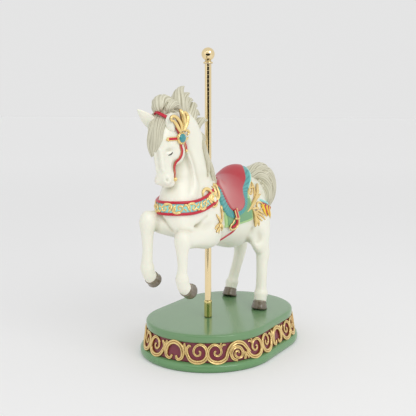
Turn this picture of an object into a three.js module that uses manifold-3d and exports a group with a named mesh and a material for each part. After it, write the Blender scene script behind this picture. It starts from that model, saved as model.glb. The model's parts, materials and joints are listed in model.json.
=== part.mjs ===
// A prancing carousel horse on a brass pole, cast in resin and set on an oval plinth.
// Millimetres, +Z up, the horse faces +X, its left side is +Y.
// The origin is the centre of the plinth's underside.
import * as THREE from "three";
import { mergeVertices } from "three/addons/utils/BufferGeometryUtils.js";
import Module from "manifold-3d";

const wasm = await Module();
wasm.setup();

// ---- Driving dimensions -------------------------------------------------------------------
const gap = 0.3; // left between neighbouring pieces

const plinth = {
  halfStraight: 30.9, // from the centre to where a round end starts
  top: 39.6,
  plateRadius: 72,
  plateUnder: 33,
  bandTopRadius: 69.5,
  bandFootRadius: 74.2,
  footTop: 9.5,
  footRadius: 79.3,
  endSides: 12, // facets in one round end
  scrollPitch: 20.7,
};
const pole = { x: 31.4, radius: 3.75, topZ: 329, spigotRadius: 3, spigotFoot: 24, sides: 16 };
const ferrule = { radius: 4.5, length: 20 };
const finial = { ball: 7.4, neck: 3.4, collar: 5.4 };

// In the tables below a row is one section of a solid: the centre x, y, z,
// then its half width across the animal and its half depth.
const body = [
  [-99, 0, 168, 8, 12],
  [-91, 0, 167, 19, 25],
  [-74, 0, 164, 27, 37],
  [-50, 0, 160, 30.5, 43],
  [-20, 0, 159, 32, 46.5],
  [12, 0, 165, 31.5, 43.5],
  [38, 0, 168.5, 30, 40],
  [66, 0, 170, 28.5, 35],
  [90, 0, 172, 25, 30],
  [106, 0, 175, 19, 22],
  [114.5, 0, 177, 11, 12],
];
const neck = [
  [64, 0, 165, 29, 48],
  [70, 0, 190, 23.5, 44],
  [66, 0, 208, 19, 37],
  [68, 0, 226, 16, 28.5],
  [74, 0, 243, 14, 22.5],
  [83, 0, 257, 13, 20],
  [96, 0, 266, 11, 16.5],
];
const head = [
  [92, 0, 269, 9, 12],
  [104, 0, 263, 12.5, 18],
  [111, 0, 252, 13.6, 21],
  [115, 0, 239, 13.4, 20],
  [117.5, 0, 228, 11, 14.5],
  [118.5, 0, 218, 9, 11],
  [119, 0, 208, 8.6, 9.6],
  [120, 0, 201.5, 6, 6.6],
];
const legs = {
  leftForearm: [
    [56, 17, 152, 12, 26],
    [72, 20, 146, 12, 18],
    [90, 20, 144.5, 10, 12],
    [107, 19.5, 144.5, 8.5, 10],
    [120, 19, 145, 7, 8],
  ],
  leftForeCannon: [
    [119, 19, 152, 5.5, 6],
    [121.5, 19, 144, 8, 9],
    [121, 19, 133, 6.6, 6.8],
    [119.5, 19, 117, 5.6, 5.6],
    [118.5, 19, 106, 6, 6.2],
    [115.5, 19, 97.5, 6.8, 7.4],
    [109.5, 19, 91, 6.4, 6.8],
  ],
  rightForearm: [
    [60, -15, 158, 11, 26],
    [80, -16, 157, 11, 17],
    [101, -17, 159, 9, 12],
    [116, -18, 163, 8.5, 10],
    [126, -18, 165, 7, 8],
  ],
  rightForeCannon: [
    [126, -18, 171, 5.5, 6],
    [128, -18, 163, 8, 9],
    [127.5, -18.5, 150, 6.8, 7],
    [127.5, -19, 133, 6, 6],
    [127, -19, 117, 6, 6.4],
    [124, -19, 107.5, 6.8, 7.4],
    [118, -19, 101, 6.4, 6.8],
  ],
  leftHind: [
    [-62, 14, 168, 14, 27],
    [-52, 21, 150, 14, 25],
    [-44, 27, 132, 12, 20.5],
    [-41, 31, 117, 8.6, 12.5],
    [-41.5, 33.5, 105, 7.6, 10.6],
    [-38.5, 34.5, 93, 7, 8.4],
    [-36, 35.5, 78, 6.8, 7.6],
    [-34.5, 36, 64, 6.8, 7.4],
    [-33.5, 36, 56.5, 7.6, 8.2],
    [-32, 36, 50, 7.4, 7.8],
  ],
  rightHind: [
    [-70, -12, 168, 14, 27],
    [-72, -17, 148, 14, 23],
    [-78, -20, 126, 10.5, 16.5],
    [-83, -20, 109, 8, 11.5],
    [-84, -21, 99, 7.6, 10.4],
    [-81.5, -22, 87, 7, 8.2],
    [-77, -23.5, 73, 6.8, 7.4],
    [-73.5, -24.5, 61, 6.8, 7.4],
    [-72, -25, 55, 7.6, 8.2],
    [-70, -25, 50, 7.4, 7.8],
  ],
};
// A hoof runs from the coronet to the sole: two centres and their radii.
const hooves = [
  { from: [109.5, 19, 92], to: [99, 19, 87.5], coronet: 6.8, sole: 8.6 },
  { from: [118, -19, 102], to: [107.5, -19, 97.5], coronet: 6.8, sole: 8.6 },
  { from: [-32, 36, 50.5], to: [-29.5, 36, 39.9], coronet: 7.9, sole: 9.6 },
  { from: [-70, -25, 50.5], to: [-66, -25, 39.9], coronet: 7.9, sole: 10 },
];
const ears = [
  [
    [117, -9, 262, 4, 3.6],
    [124, -13, 269, 4.8, 3.2],
    [133, -19, 279, 1.2, 1],
  ],
  [
    [115, 9, 264, 4, 3.4],
    [121, 11.5, 269, 5, 3.2],
    [127, 13, 263, 2.6, 1.6],
  ],
];
const mane = [
  [[100, 2, 272, 7, 6], [106, 0, 282, 8, 6], [116, -2, 286, 7, 6], [121, -3, 279, 5, 4]],
  [[92, 0, 272, 7, 7], [92, 0, 286, 6, 6], [86, -1, 296, 4, 4], [79, -2, 302, 1.2, 1.2]],
  [[84, 1, 270, 7, 7], [82, 1, 284, 5, 5.5], [75, 1, 294, 1.4, 1.4]],
  [[76, -1, 264, 7, 7], [72, -1, 277, 5, 6], [62, -1, 284, 1.4, 1.4]],
  [[66, 1, 256, 6, 7], [59, 1, 268, 4.5, 5], [46, 0, 270, 1.3, 1.3]],
  [[56, -1, 244, 6, 8], [49, -1, 256, 4, 5], [40, -1, 257, 1.3, 1.3]],
];
const forelock = [
  [[112, 0, 273, 6, 4], [127, -3, 266, 8, 4], [134, -5, 252, 7, 3.6], [134, -5, 238, 4, 2.6]],
  [[112, -4, 272, 5, 4], [126, -8, 262, 6, 4], [131, -10, 246, 5, 3.6], [129, -9, 232, 2, 1.6]],
];
const tail = [
  [-78, 0, 180, 8, 9],
  [-84, 0, 194, 10, 11],
  [-94, 0, 201, 13, 11.5],
  [-106, 0, 197, 15, 12],
  [-115, 0, 184, 15.5, 12],
  [-117, 0, 168, 13, 10.5],
  [-114, 0, 154, 8.5, 7],
  [-109, 0, 145, 2.5, 2.5],
];

// Gilded ornament: the plume behind the left ear, and leaves before and behind the saddle.
const ornaments = [
  [[104, 13, 247, 3, 4], [98, 14, 258, 3, 5], [97, 13, 268, 2.6, 4], [101, 12, 273, 1, 2]],
  [[104, 13.5, 247, 2.4, 4.4], [104.5, 13.5, 236, 2.4, 5], [103, 13, 228, 1, 2]],
  [[-20, 33, 166, 3, 5], [-34, 31, 176, 3, 8], [-47, 26, 187, 3, 8], [-52, 23, 196, 1.2, 3]],
  [[-24, 33, 160, 3, 5], [-42, 31, 166, 3, 7], [-58, 27, 172, 2.6, 5], [-66, 24, 178, 1, 2]],
  [[-30, 32.5, 158, 3, 5], [-44, 30, 154, 3, 6], [-56, 27, 147, 2.4, 5], [-62, 25, 142, 1, 2]],
  [[50, 30.5, 174, 2.4, 3], [50, 31.5, 162, 2.6, 6], [50, 30.5, 150, 2, 5], [49, 29, 142, 1, 2]],
];

// Harness that wraps the barrel. Each row: the height measured as an angle from the
// spine (0) to the belly (180), then the front and back edge in x.
const blanket = {
  rise: 1.8,
  rows: [
    [0, 40, -34],
    [40, 44, -36],
    [75, 47, -28],
    [92, 47, -23],
    [108, 45, -22],
  ],
};
const underlay = {
  rise: 3.4,
  rows: [
    [0, 28, -52],
    [30, 33, -48],
    [60, 41, -32],
    [80, 40, -20],
    [92, 32, -6],
    [98, 25, 8],
  ],
};
const flap = {
  rise: 5.2,
  rows: [
    [0, 24, -46],
    [24, 26, -44],
    [45, 32, -24],
    [62, 35, -15],
    [76, 34, -6],
    [86, 27, 8],
  ],
};
const seat = [
  [25, 0, 200, 7, 6],
  [14, 0, 200, 13, 7],
  [-4, 0, 201, 17, 8],
  [-24, 0, 204, 20, 10.5],
  [-38, 0, 204, 20, 11],
  [-48, 0, 199, 15, 8],
];
const girth = { x: 36, halfWidth: 4.5, rise: 1.6 };
const collar = {
  x: 66,
  long: 46.5,
  wide: 26.5,
  z: 176.8,
  sideRise: 7.5,
  sweep: 96, // degrees to either side of the chest
  half: 6.6,
  thick: 3,
};

// ---- Small tools --------------------------------------------------------------------------
const vec = (p) => new THREE.Vector3(p[0], p[1], p[2]);

// Puts rows between the given ones on a smooth curve through them.
function smooth(rows, steps) {
  const at = (i) => rows[Math.min(Math.max(i, 0), rows.length - 1)];
  const out = [];
  for (let i = 0; i + 1 < rows.length; i++) {
    const [a, b, c, d] = [at(i - 1), at(i), at(i + 1), at(i + 2)];
    for (let s = 0; s < steps; s++) {
      const t = s / steps;
      out.push(
        b.map((_, n) => {
          const slope = 0.5 * (c[n] - a[n]);
          const bend = a[n] - 2.5 * b[n] + 2 * c[n] - 0.5 * d[n];
          const twist = 1.5 * (b[n] - c[n]) + 0.5 * (d[n] - a[n]);
          return b[n] + t * (slope + t * (bend + t * twist));
        }),
      );
    }
  }
  out.push(at(rows.length - 1));
  return out;
}

// A closed skin from rings of points with a point at each end.
function skin(rings, start, end) {
  const sides = rings[0].length;
  const points = [...rings.flat(), start, end];
  const [first, far] = [points.length - 2, points.length - 1];
  const last = rings.length - 1;
  const faces = [];
  for (let k = 0; k < sides; k++) {
    const next = (k + 1) % sides;
    for (let i = 0; i < last; i++) {
      const [a, b] = [i * sides + k, i * sides + next];
      faces.push(a, b, b + sides, a, b + sides, a + sides);
    }
    faces.push(first, next, k);
    faces.push(far, last * sides + k, last * sides + next);
  }
  const geometry = new THREE.BufferGeometry().setFromPoints(points);
  geometry.setIndex(faces);
  return geometry;
}

const middle = (ring) =>
  ring.reduce((sum, p) => sum.add(p), new THREE.Vector3()).divideScalar(ring.length);
const closed = (rings) => skin(rings, middle(rings[0]), middle(rings[rings.length - 1]));

// Elliptical sections set square to the path through the rows, with low ends.
function loft(rows, sides, tip = 0.35) {
  const centres = rows.map(vec);
  const last = rows.length - 1;
  const rings = rows.map((row, i) => {
    const ahead = centres[Math.min(i + 1, last)];
    const t = ahead.clone().sub(centres[Math.max(i - 1, 0)]).normalize();
    const wide = new THREE.Vector3(0, 1, 0).addScaledVector(t, -t.y).normalize();
    const deep = new THREE.Vector3().crossVectors(t, wide);
    return Array.from({ length: sides }, (_, k) => {
      const angle = (2 * Math.PI * (k + 0.5)) / sides;
      return centres[i]
        .clone()
        .addScaledVector(wide, row[3] * Math.cos(angle))
        .addScaledVector(deep, row[4] * Math.sin(angle));
    });
  });
  const cap = (i, j) => {
    const out = centres[i].clone().sub(centres[j]).normalize();
    return centres[i].clone().addScaledVector(out, tip * Math.min(rows[i][3], rows[i][4]));
  };
  return skin(rings, cap(0, 1), cap(last, last - 1));
}

// A three.js geometry as a manifold-3d solid, and back.
function solid(geometry) {
  const bare = geometry.clone();
  bare.deleteAttribute("normal");
  bare.deleteAttribute("uv");
  const merged = mergeVertices(bare, 1e-4);
  const positions = new Float32Array(merged.attributes.position.array);
  const triangles = new Uint32Array(merged.index.array);
  const build = () =>
    new wasm.Manifold(
      new wasm.Mesh({ numProp: 3, vertProperties: positions, triVerts: triangles }),
    );
  const made = build();
  if (made.volume() > 0) return made;
  for (let i = 0; i < triangles.length; i += 3) {
    [triangles[i], triangles[i + 1]] = [triangles[i + 1], triangles[i]];
  }
  return build();
}
function geometryOf(manifold) {
  const mesh = manifold.getMesh();
  const geometry = new THREE.BufferGeometry();
  const positions = new Float32Array(mesh.vertProperties);
  geometry.setAttribute("position", new THREE.BufferAttribute(positions, 3));
  geometry.setIndex(outerShell(positions, Array.from(mesh.triVerts)));
  return geometry;
}

// Leaves out the small pockets that are shut in where overlapping solids meet.
function outerShell(positions, triangles) {
  const group = Array.from({ length: positions.length / 3 }, (_, i) => i);
  const root = (i) => {
    while (group[i] !== i) i = group[i] = group[group[i]];
    return i;
  };
  const corners = (i) => triangles.slice(i, i + 3);
  for (let i = 0; i < triangles.length; i += 3) {
    const [a, b, c] = corners(i);
    group[root(b)] = root(a);
    group[root(c)] = root(a);
  }
  const point = (i) => new THREE.Vector3().fromArray(positions, 3 * i);
  const volume = new Map();
  for (let i = 0; i < triangles.length; i += 3) {
    const [a, b, c] = corners(i).map(point);
    const shell = root(triangles[i]);
    volume.set(shell, (volume.get(shell) ?? 0) + a.dot(b.cross(c)));
  }
  return triangles.filter((_, i) => volume.get(root(triangles[i - (i % 3)])) > 0);
}
const union = (solids) => solids.reduce((a, b) => a.add(b));
const limb = (rows, sides, steps = 2) => solid(loft(smooth(rows, steps), sides));

function rod(x, radius, fromZ, toZ, sides) {
  const geometry = new THREE.CylinderGeometry(radius, radius, toZ - fromZ, sides);
  geometry.rotateX(Math.PI / 2);
  geometry.translate(x, 0, (fromZ + toZ) / 2);
  return solid(geometry);
}

// ---- Horse --------------------------------------------------------------------------------
const barrel = smooth(body, 4);

// A point on the barrel, raised by some height: angle 0 is the spine, 180 the belly.
function onBarrel(x, angle, height) {
  const i = barrel.findIndex((row) => row[0] >= x);
  const [a, b] = [barrel[Math.max(i - 1, 0)], barrel[i]];
  const t = (x - a[0]) / (b[0] - a[0]);
  const [centre, wide, deep] = [2, 3, 4].map((n) => a[n] + t * (b[n] - a[n]));
  const turn = THREE.MathUtils.degToRad(angle);
  return new THREE.Vector3(
    x,
    (wide + height) * Math.sin(turn),
    centre + (deep + height) * Math.cos(turn),
  );
}

// A cloth from one side of the barrel over the spine to the other.
function drape({ rise, rows }, columns = 4, depth = 4) {
  const over = [
    ...rows.slice(1).reverse().map(([angle, front, back]) => [-angle, front, back]),
    ...rows,
  ];
  const across = (angle, front, back, height) =>
    Array.from({ length: columns + 1 }, (_, k) =>
      onBarrel(front + ((back - front) * k) / columns, angle, height),
    );
  const rings = over.map(([angle, front, back]) => [
    ...across(angle, front, back, rise),
    ...across(angle, back, front, -depth),
  ]);
  return solid(closed(rings));
}

function girthBand({ x, halfWidth, rise }) {
  const rows = [];
  for (let angle = 84; angle <= 180; angle += 16) {
    rows.push([angle, x + halfWidth, x - halfWidth]);
  }
  const rings = rows.map(([angle, front, back]) => [
    onBarrel(front, angle, rise),
    onBarrel(back, angle, rise),
    onBarrel(back, angle, -4),
    onBarrel(front, angle, -4),
  ]);
  const left = rings.map((ring) => ring.map((p) => p.clone()));
  const right = rings
    .slice(0, -1)
    .reverse()
    .map((ring) => ring.map((p) => new THREE.Vector3(p.x, -p.y, p.z)));
  return solid(closed([...left, ...right]));
}

function breastCollar({ x, long, wide, z, sideRise, sweep, half, thick }) {
  const rings = [];
  for (let angle = -sweep; angle <= sweep; angle += 16) {
    const turn = THREE.MathUtils.degToRad(angle);
    const height = z + sideRise * Math.pow(Math.sin(turn / 1.16), 2);
    const at = (grow, lift) =>
      new THREE.Vector3(
        x + (long + grow) * Math.cos(turn),
        (wide + grow) * Math.sin(turn),
        height + lift,
      );
    rings.push([
      at(-5, -half),
      at(thick, -half),
      at(thick + 1, 0),
      at(thick, half),
      at(-5, half),
    ]);
  }
  return solid(closed(rings));
}

function hoof({ from, to, coronet, sole }) {
  const [a, b] = [vec(from), vec(to)];
  const rows = [0, 1].map((t) => {
    const c = a.clone().lerp(b, t);
    const radius = coronet + (sole - coronet) * t;
    return [c.x, c.y, c.z, radius, radius];
  });
  return solid(loft(rows, 12, 0));
}

function horseSolid() {
  const ground = new THREE.BoxGeometry(400, 400, 40);
  ground.translate(0, 0, plinth.top + gap - 20);
  const shape = union([
    limb(body, 16),
    limb(neck, 14),
    limb(head, 12),
    limb(tail, 10),
    ...Object.values(legs).map((rows) => limb(rows, 9, rows.length > 7 ? 1 : 2)),
    ...hooves.map(hoof),
    ...ears.map((rows) => limb(rows, 6)),
    ...mane.map((rows) => limb(rows, 5)),
    ...forelock.map((rows) => limb(rows, 5)),
    ...ornaments.map((rows) => limb(rows, 6, 1)),
    drape(blanket),
    drape(underlay),
    drape(flap),
    limb(seat, 12, 1),
    girthBand(girth),
    breastCollar(collar),
  ]);
  const bore = rod(pole.x, pole.radius + gap, 60, 300, pole.sides);
  return shape.subtract(bore).subtract(solid(ground));
}

// ---- Plinth -------------------------------------------------------------------------------
// A ring in the plinth's oval outline: straight sides and round ends.
function oval(radius, z) {
  const points = [];
  for (const end of [1, -1]) {
    for (let k = 0; k <= plinth.endSides; k++) {
      const turn = Math.PI * (k / plinth.endSides - 0.5);
      const out = new THREE.Vector3(Math.cos(turn), Math.sin(turn), 0).multiplyScalar(end * radius);
      points.push(out.add(new THREE.Vector3(end * plinth.halfStraight, 0, z)));
    }
  }
  return points;
}

// A point on the plinth's painted band: the way round, the height, and how far it stands out.
const bandPerimeter =
  4 * plinth.halfStraight + Math.PI * (plinth.bandTopRadius + plinth.bandFootRadius);
function onBand(way, z, out) {
  const rise = (z - plinth.footTop) / (plinth.plateUnder - plinth.footTop);
  const radius = plinth.bandFootRadius + rise * (plinth.bandTopRadius - plinth.bandFootRadius);
  const straight = 2 * plinth.halfStraight;
  const half = bandPerimeter / 2;
  const end = way % bandPerimeter < half ? 1 : -1;
  const along = way % half;
  if (along < straight) {
    return new THREE.Vector3(end * (plinth.halfStraight - along), end * (radius + out), z);
  }
  const turn = Math.PI * (0.5 + (along - straight) / (half - straight));
  return new THREE.Vector3(
    end * (-plinth.halfStraight + (radius + out) * Math.cos(turn)),
    end * (radius + out) * Math.sin(turn),
    z,
  );
}

// One raised scroll: a ridge that winds in to its eye.
function scroll(way, flip) {
  const mid = (plinth.footTop + plinth.plateUnder) / 2;
  const turns = 6;
  const rings = [];
  for (let k = 0; k <= turns; k++) {
    const wind = k / turns;
    const angle = Math.PI * (-0.1 + 1.9 * wind) * flip;
    const reach = 9.8 * (1 - 0.72 * wind);
    const half = 2.7 - 1.1 * wind;
    const at = (radius, out) =>
      onBand(way + radius * Math.cos(angle), mid + flip * 0.5 + radius * Math.sin(angle), out);
    rings.push([
      at(reach + half, -1),
      at(reach, 2),
      at(reach - half, -1),
    ]);
  }
  return solid(closed(rings));
}

function plinthSolid() {
  const { top, plateRadius, plateUnder, bandTopRadius, bandFootRadius, footTop, footRadius } = plinth;
  const profile = [
    [footRadius - 2.4, 0],
    [footRadius, 3],
    [footRadius - 0.8, 6.6],
    [bandFootRadius + 0.4, footTop],
    [bandTopRadius, plateUnder],
    [plateRadius - 0.6, plateUnder + 0.5],
    [plateRadius, top - 2],
    [plateRadius - 1.6, top],
  ];
  const rings = profile.map(([radius, z]) => oval(radius, z));
  const block = solid(skin(rings, new THREE.Vector3(0, 0, 0), new THREE.Vector3(0, 0, top)));
  const count = Math.round(bandPerimeter / plinth.scrollPitch);
  const scrolls = Array.from({ length: count }, (_, k) =>
    scroll((k + 0.5) * (bandPerimeter / count) + bandPerimeter, k % 2 ? 1 : -1),
  );
  const socket = rod(pole.x, pole.spigotRadius + gap, pole.spigotFoot - gap, top + 5, pole.sides);
  return union([block, ...scrolls]).subtract(socket);
}

// ---- Pole, ferrule and finial -------------------------------------------------------------
const shoulder = plinth.top + gap + ferrule.length + gap;

function poleSolid() {
  return rod(pole.x, pole.radius, shoulder, pole.topZ, pole.sides).add(
    rod(pole.x, pole.spigotRadius, pole.spigotFoot, shoulder + 2, pole.sides),
  );
}
function ferruleSolid() {
  const foot = plinth.top + gap;
  const bore = pole.spigotRadius + gap;
  return rod(pole.x, ferrule.radius, foot, foot + ferrule.length, pole.sides).subtract(
    rod(pole.x, bore, foot - 1, foot + ferrule.length + 1, pole.sides),
  );
}
function finialGeometry() {
  const foot = pole.topZ + gap;
  const centre = foot + 4 + finial.ball * 0.88;
  const profile = [
    [0, foot],
    [finial.collar - 0.6, foot],
    [finial.collar, foot + 0.9],
    [finial.collar - 0.5, foot + 1.8],
    [finial.neck, foot + 2.6],
  ];
  for (let k = 1; k < 10; k++) {
    const turn = Math.PI * (-0.36 + (0.86 * k) / 10);
    profile.push([finial.ball * Math.cos(turn), centre + finial.ball * Math.sin(turn)]);
  }
  profile.push([0, centre + finial.ball]);
  const geometry = new THREE.LatheGeometry(
    profile.map(([r, z]) => new THREE.Vector2(r, z)),
    pole.sides,
  );
  geometry.rotateX(Math.PI / 2);
  geometry.translate(pole.x, 0, 0);
  return geometry;
}

// ---- Assembly -----------------------------------------------------------------------------
const finish = (color, roughness, metalness) =>
  new THREE.MeshStandardMaterial({ color, roughness, metalness });

const carousel = new THREE.Group();
function addPiece(name, made, material) {
  const mesh = new THREE.Mesh(geometryOf(made), material);
  mesh.name = name;
  carousel.add(mesh);
}
addPiece("horse", horseSolid(), finish(0xece9d8, 0.45, 0));
addPiece("plinth", plinthSolid(), finish(0x9cb596, 0.4, 0));
addPiece("pole", poleSolid(), finish(0xd9b878, 0.25, 1));
addPiece("ferrule", ferruleSolid(), finish(0xb89a58, 0.2, 1));
addPiece("finial", solid(finialGeometry()), finish(0xd9b878, 0.15, 1));

export default carousel;
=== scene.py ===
import bpy
import json
import math
import numpy as np
import openvdb as vdb
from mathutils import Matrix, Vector
from mathutils.bvhtree import BVHTree

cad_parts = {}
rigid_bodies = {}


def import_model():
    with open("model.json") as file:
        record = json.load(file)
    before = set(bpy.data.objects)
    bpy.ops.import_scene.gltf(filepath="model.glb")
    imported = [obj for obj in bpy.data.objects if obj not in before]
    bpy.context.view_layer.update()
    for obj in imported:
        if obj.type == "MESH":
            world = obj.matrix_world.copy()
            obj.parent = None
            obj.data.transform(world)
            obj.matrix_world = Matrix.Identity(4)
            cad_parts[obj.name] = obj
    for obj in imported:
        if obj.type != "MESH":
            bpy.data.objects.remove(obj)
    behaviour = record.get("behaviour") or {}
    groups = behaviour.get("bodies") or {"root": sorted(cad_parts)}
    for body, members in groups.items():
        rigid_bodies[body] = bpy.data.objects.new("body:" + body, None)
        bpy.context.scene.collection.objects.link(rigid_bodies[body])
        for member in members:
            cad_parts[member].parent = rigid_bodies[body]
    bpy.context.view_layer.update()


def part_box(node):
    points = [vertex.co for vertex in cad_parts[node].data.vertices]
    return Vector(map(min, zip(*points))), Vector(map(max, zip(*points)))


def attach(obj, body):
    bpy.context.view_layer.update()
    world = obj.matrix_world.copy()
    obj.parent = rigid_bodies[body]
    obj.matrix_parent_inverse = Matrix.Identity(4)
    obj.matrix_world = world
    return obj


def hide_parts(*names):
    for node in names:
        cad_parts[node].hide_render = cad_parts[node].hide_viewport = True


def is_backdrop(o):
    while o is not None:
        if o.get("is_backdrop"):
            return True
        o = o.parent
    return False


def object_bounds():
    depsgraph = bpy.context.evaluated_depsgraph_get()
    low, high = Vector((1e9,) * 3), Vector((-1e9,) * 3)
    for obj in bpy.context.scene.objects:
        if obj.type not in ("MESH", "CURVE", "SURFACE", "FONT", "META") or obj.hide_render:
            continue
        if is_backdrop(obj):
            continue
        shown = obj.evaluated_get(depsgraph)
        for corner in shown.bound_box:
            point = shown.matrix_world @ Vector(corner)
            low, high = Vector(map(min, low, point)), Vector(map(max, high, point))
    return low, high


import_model()  # the CAD model, at rest
mm = 0.001
plinthLow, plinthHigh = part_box("plinth")
poleLow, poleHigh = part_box("pole")
finialLow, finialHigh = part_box("finial")
ferruleLow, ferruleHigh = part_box("ferrule")
plinthTop = plinthHigh.z / mm  # everything below is worked out in millimetres
poleX = (poleLow.x + poleHigh.x) / 2 / mm
poleRadius = (poleHigh.x - poleLow.x) / 2 / mm


# Shader sockets that can be added, multiplied and mixed like numbers.
class Shade:
    def __init__(self, tree, out=None):
        self.tree, self.out = tree, out

    def feed(self, socket, value):
        if isinstance(value, Shade):
            self.tree.links.new(value.out, socket)
        elif hasattr(socket.default_value, "__len__") and len(socket.default_value) == 4:
            socket.default_value = (*value[:3], 1.0)
        else:
            socket.default_value = value

    def node(self, kind, settings=None, values=None, out=0):
        made = self.tree.nodes.new(kind)
        for name, value in (settings or {}).items():
            setattr(made, name, value)
        for name, value in (values or {}).items():
            self.feed(made.inputs[name], value)
        return Shade(self.tree, made.outputs[out] if made.outputs else None)

    def maths(self, kind, *terms):
        return self.node("ShaderNodeMath", {"operation": kind}, dict(enumerate(terms)))

    def __add__(self, other):
        return self.maths("ADD", self, other)

    def __sub__(self, other):
        return self.maths("SUBTRACT", self, other)

    def __mul__(self, other):
        return self.maths("MULTIPLY", self, other)

    def __radd__(self, other):
        return self.maths("ADD", other, self)

    def __rsub__(self, other):
        return self.maths("SUBTRACT", other, self)

    def __rmul__(self, other):
        return self.maths("MULTIPLY", other, self)

    def clamp(self):
        return self.maths("MINIMUM", self.maths("MAXIMUM", self, 0.0), 1.0)

    def ramp(self, start, end):  # 0 at start, 1 at end, eased between
        return self.node("ShaderNodeMapRange", {"interpolation_type": "SMOOTHSTEP"},
                         {"Value": self, "From Min": start, "From Max": end})

    def mix(self, a, b):  # self picks between two colours
        return self.node("ShaderNodeMix", {"data_type": "RGBA"}, {0: self, 6: a, 7: b}, 2)


def srgb(r, g, b):  # 0-255 as seen, to the linear values the shader takes
    return tuple(c / 12.92 if c <= 0.04045 else ((c + 0.055) / 1.055) ** 2.4
                 for c in (r / 255, g / 255, b / 255))


def newMaterial(name):
    mat = bpy.data.materials.new(name)
    mat.use_nodes = True
    mat.node_tree.nodes.clear()
    return mat, Shade(mat.node_tree)


fineGrain = {"scale": 900.0, "strength": 0.25}


# A painted resin finish: the paint, a second colour laid in as painted shade in the hollows and creases (on
# some pieces a tone of their own instead), and wear in the tone.
def makePaint(name, colour, washColour, rough, metal=0.0, coat=0.0, mottle=0.06,
              mottleSize=60.0, washPower=1.0, bump=0.0, sub=0.0):
    mat, s = newMaterial(name)
    place = s.node("ShaderNodeTexCoord", out=3)
    noise = s.node("ShaderNodeTexNoise", {}, {"Vector": place, "Scale": mottleSize, "Detail": 4.0})
    wash = s.node("ShaderNodeAttribute", {"attribute_name": "wash"}, out=2)
    # The share of the second colour: painted shade and tone from the mesh, with wear from the noise.
    amount = (wash * washPower + (noise - 0.5) * mottle * 2.0).clamp()
    tint = amount.mix(colour, washColour)
    values = {"Base Color": tint, "Roughness": rough + (noise - 0.5) * 0.12, "Metallic": metal,
              "Coat Weight": coat, "Coat Roughness": 0.15}
    if bump:
        fine = s.node("ShaderNodeTexNoise", {},
                      {"Vector": place, "Scale": fineGrain["scale"], "Detail": 2.0})
        values["Normal"] = s.node("ShaderNodeBump", {}, {"Strength": fineGrain["strength"],
                                                         "Distance": bump * mm, "Height": fine})
    if sub:
        values.update({"Subsurface Weight": sub, "Subsurface Scale": 4 * mm})
    skin = s.node("ShaderNodeBsdfPrincipled", {}, values)
    s.node("ShaderNodeOutputMaterial", {}, {"Surface": skin})
    mat.diffuse_color = (*colour, 1)
    return mat


# Each paint's second colour is painted shade for hollows and creases; the saddle's is a paler tone instead.
paints = {
    "ivory": makePaint("ivory", srgb(240, 239, 224), srgb(164, 156, 118), 0.38, coat=0.12,
                       mottle=0.07, mottleSize=28, bump=0.05, sub=0.05),
    "hair": makePaint("hair", srgb(226, 223, 201), srgb(126, 118, 84), 0.42, mottle=0.2,
                      mottleSize=45, bump=0.08),
    "hoof": makePaint("hoof", srgb(126, 114, 96), srgb(50, 38, 28), 0.22, coat=0.8, mottle=0.3,
                      mottleSize=60),
    "gold": makePaint("gold", srgb(252, 224, 154), srgb(140, 80, 20), 0.24, metal=0.45,
                      mottle=0.3, mottleSize=150, washPower=1.3, bump=0.1),
    "red": makePaint("red", srgb(198, 22, 52), srgb(92, 10, 22), 0.35, coat=0.2),
    "saddle": makePaint("saddle", srgb(182, 36, 52), srgb(226, 178, 172), 0.36, coat=0.2,
                        mottle=0.05),
    "turquoise": makePaint("turquoise", srgb(90, 170, 166), srgb(28, 104, 114), 0.38, coat=0.2),
    "stone": makePaint("stone", srgb(62, 146, 150), srgb(20, 84, 92), 0.16, coat=0.7, mottle=0.3,
                       mottleSize=120),
    "paleTurquoise": makePaint("paleTurquoise", srgb(150, 222, 216), srgb(84, 160, 160), 0.4),
    "blanket": makePaint("blanket", srgb(118, 170, 122), srgb(62, 108, 74), 0.4, coat=0.15),
    "blanketEdge": makePaint("blanketEdge", srgb(178, 214, 142), srgb(112, 158, 92), 0.42),
    "yellow": makePaint("yellow", srgb(246, 208, 66), srgb(206, 130, 40), 0.38),
    "sage": makePaint("sage", srgb(112, 150, 106), srgb(84, 126, 82), 0.2, coat=0.2,
                      mottle=0.12, mottleSize=16),
    "green": makePaint("green", srgb(104, 150, 100), srgb(58, 100, 62), 0.26, coat=0.3,
                       mottle=0.12, mottleSize=24),
    "burgundy": makePaint("burgundy", srgb(132, 50, 66), srgb(84, 26, 40), 0.34, coat=0.2,
                          mottle=0.12, mottleSize=40),
    "dark": makePaint("dark", srgb(48, 44, 40), srgb(20, 18, 16), 0.4),
}


# Polished brass, darkened with painted shade at the ferrule's and the finial's ends.
def makeBrass(name, colour, rough):
    mat, s = newMaterial(name)
    place = s.node("ShaderNodeTexCoord", out=3)
    noise = s.node("ShaderNodeTexNoise", {}, {"Vector": place, "Scale": 140.0, "Detail": 3.0})
    wash = s.node("ShaderNodeAttribute", {"attribute_name": "wash"}, out=2)
    tint = (wash + (noise - 0.5) * 0.08).clamp().mix(colour, srgb(110, 88, 40))
    skin = s.node("ShaderNodeBsdfPrincipled", {},
                  {"Base Color": tint, "Metallic": 1.0, "Roughness": rough + noise * 0.05})
    s.node("ShaderNodeOutputMaterial", {}, {"Surface": skin})
    return mat


paints["brass"] = makeBrass("brass", srgb(246, 224, 176), 0.09)
paints["brassDark"] = makeBrass("brassDark", srgb(236, 218, 150), 0.05)
print("paints ready:", len(paints))


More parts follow.
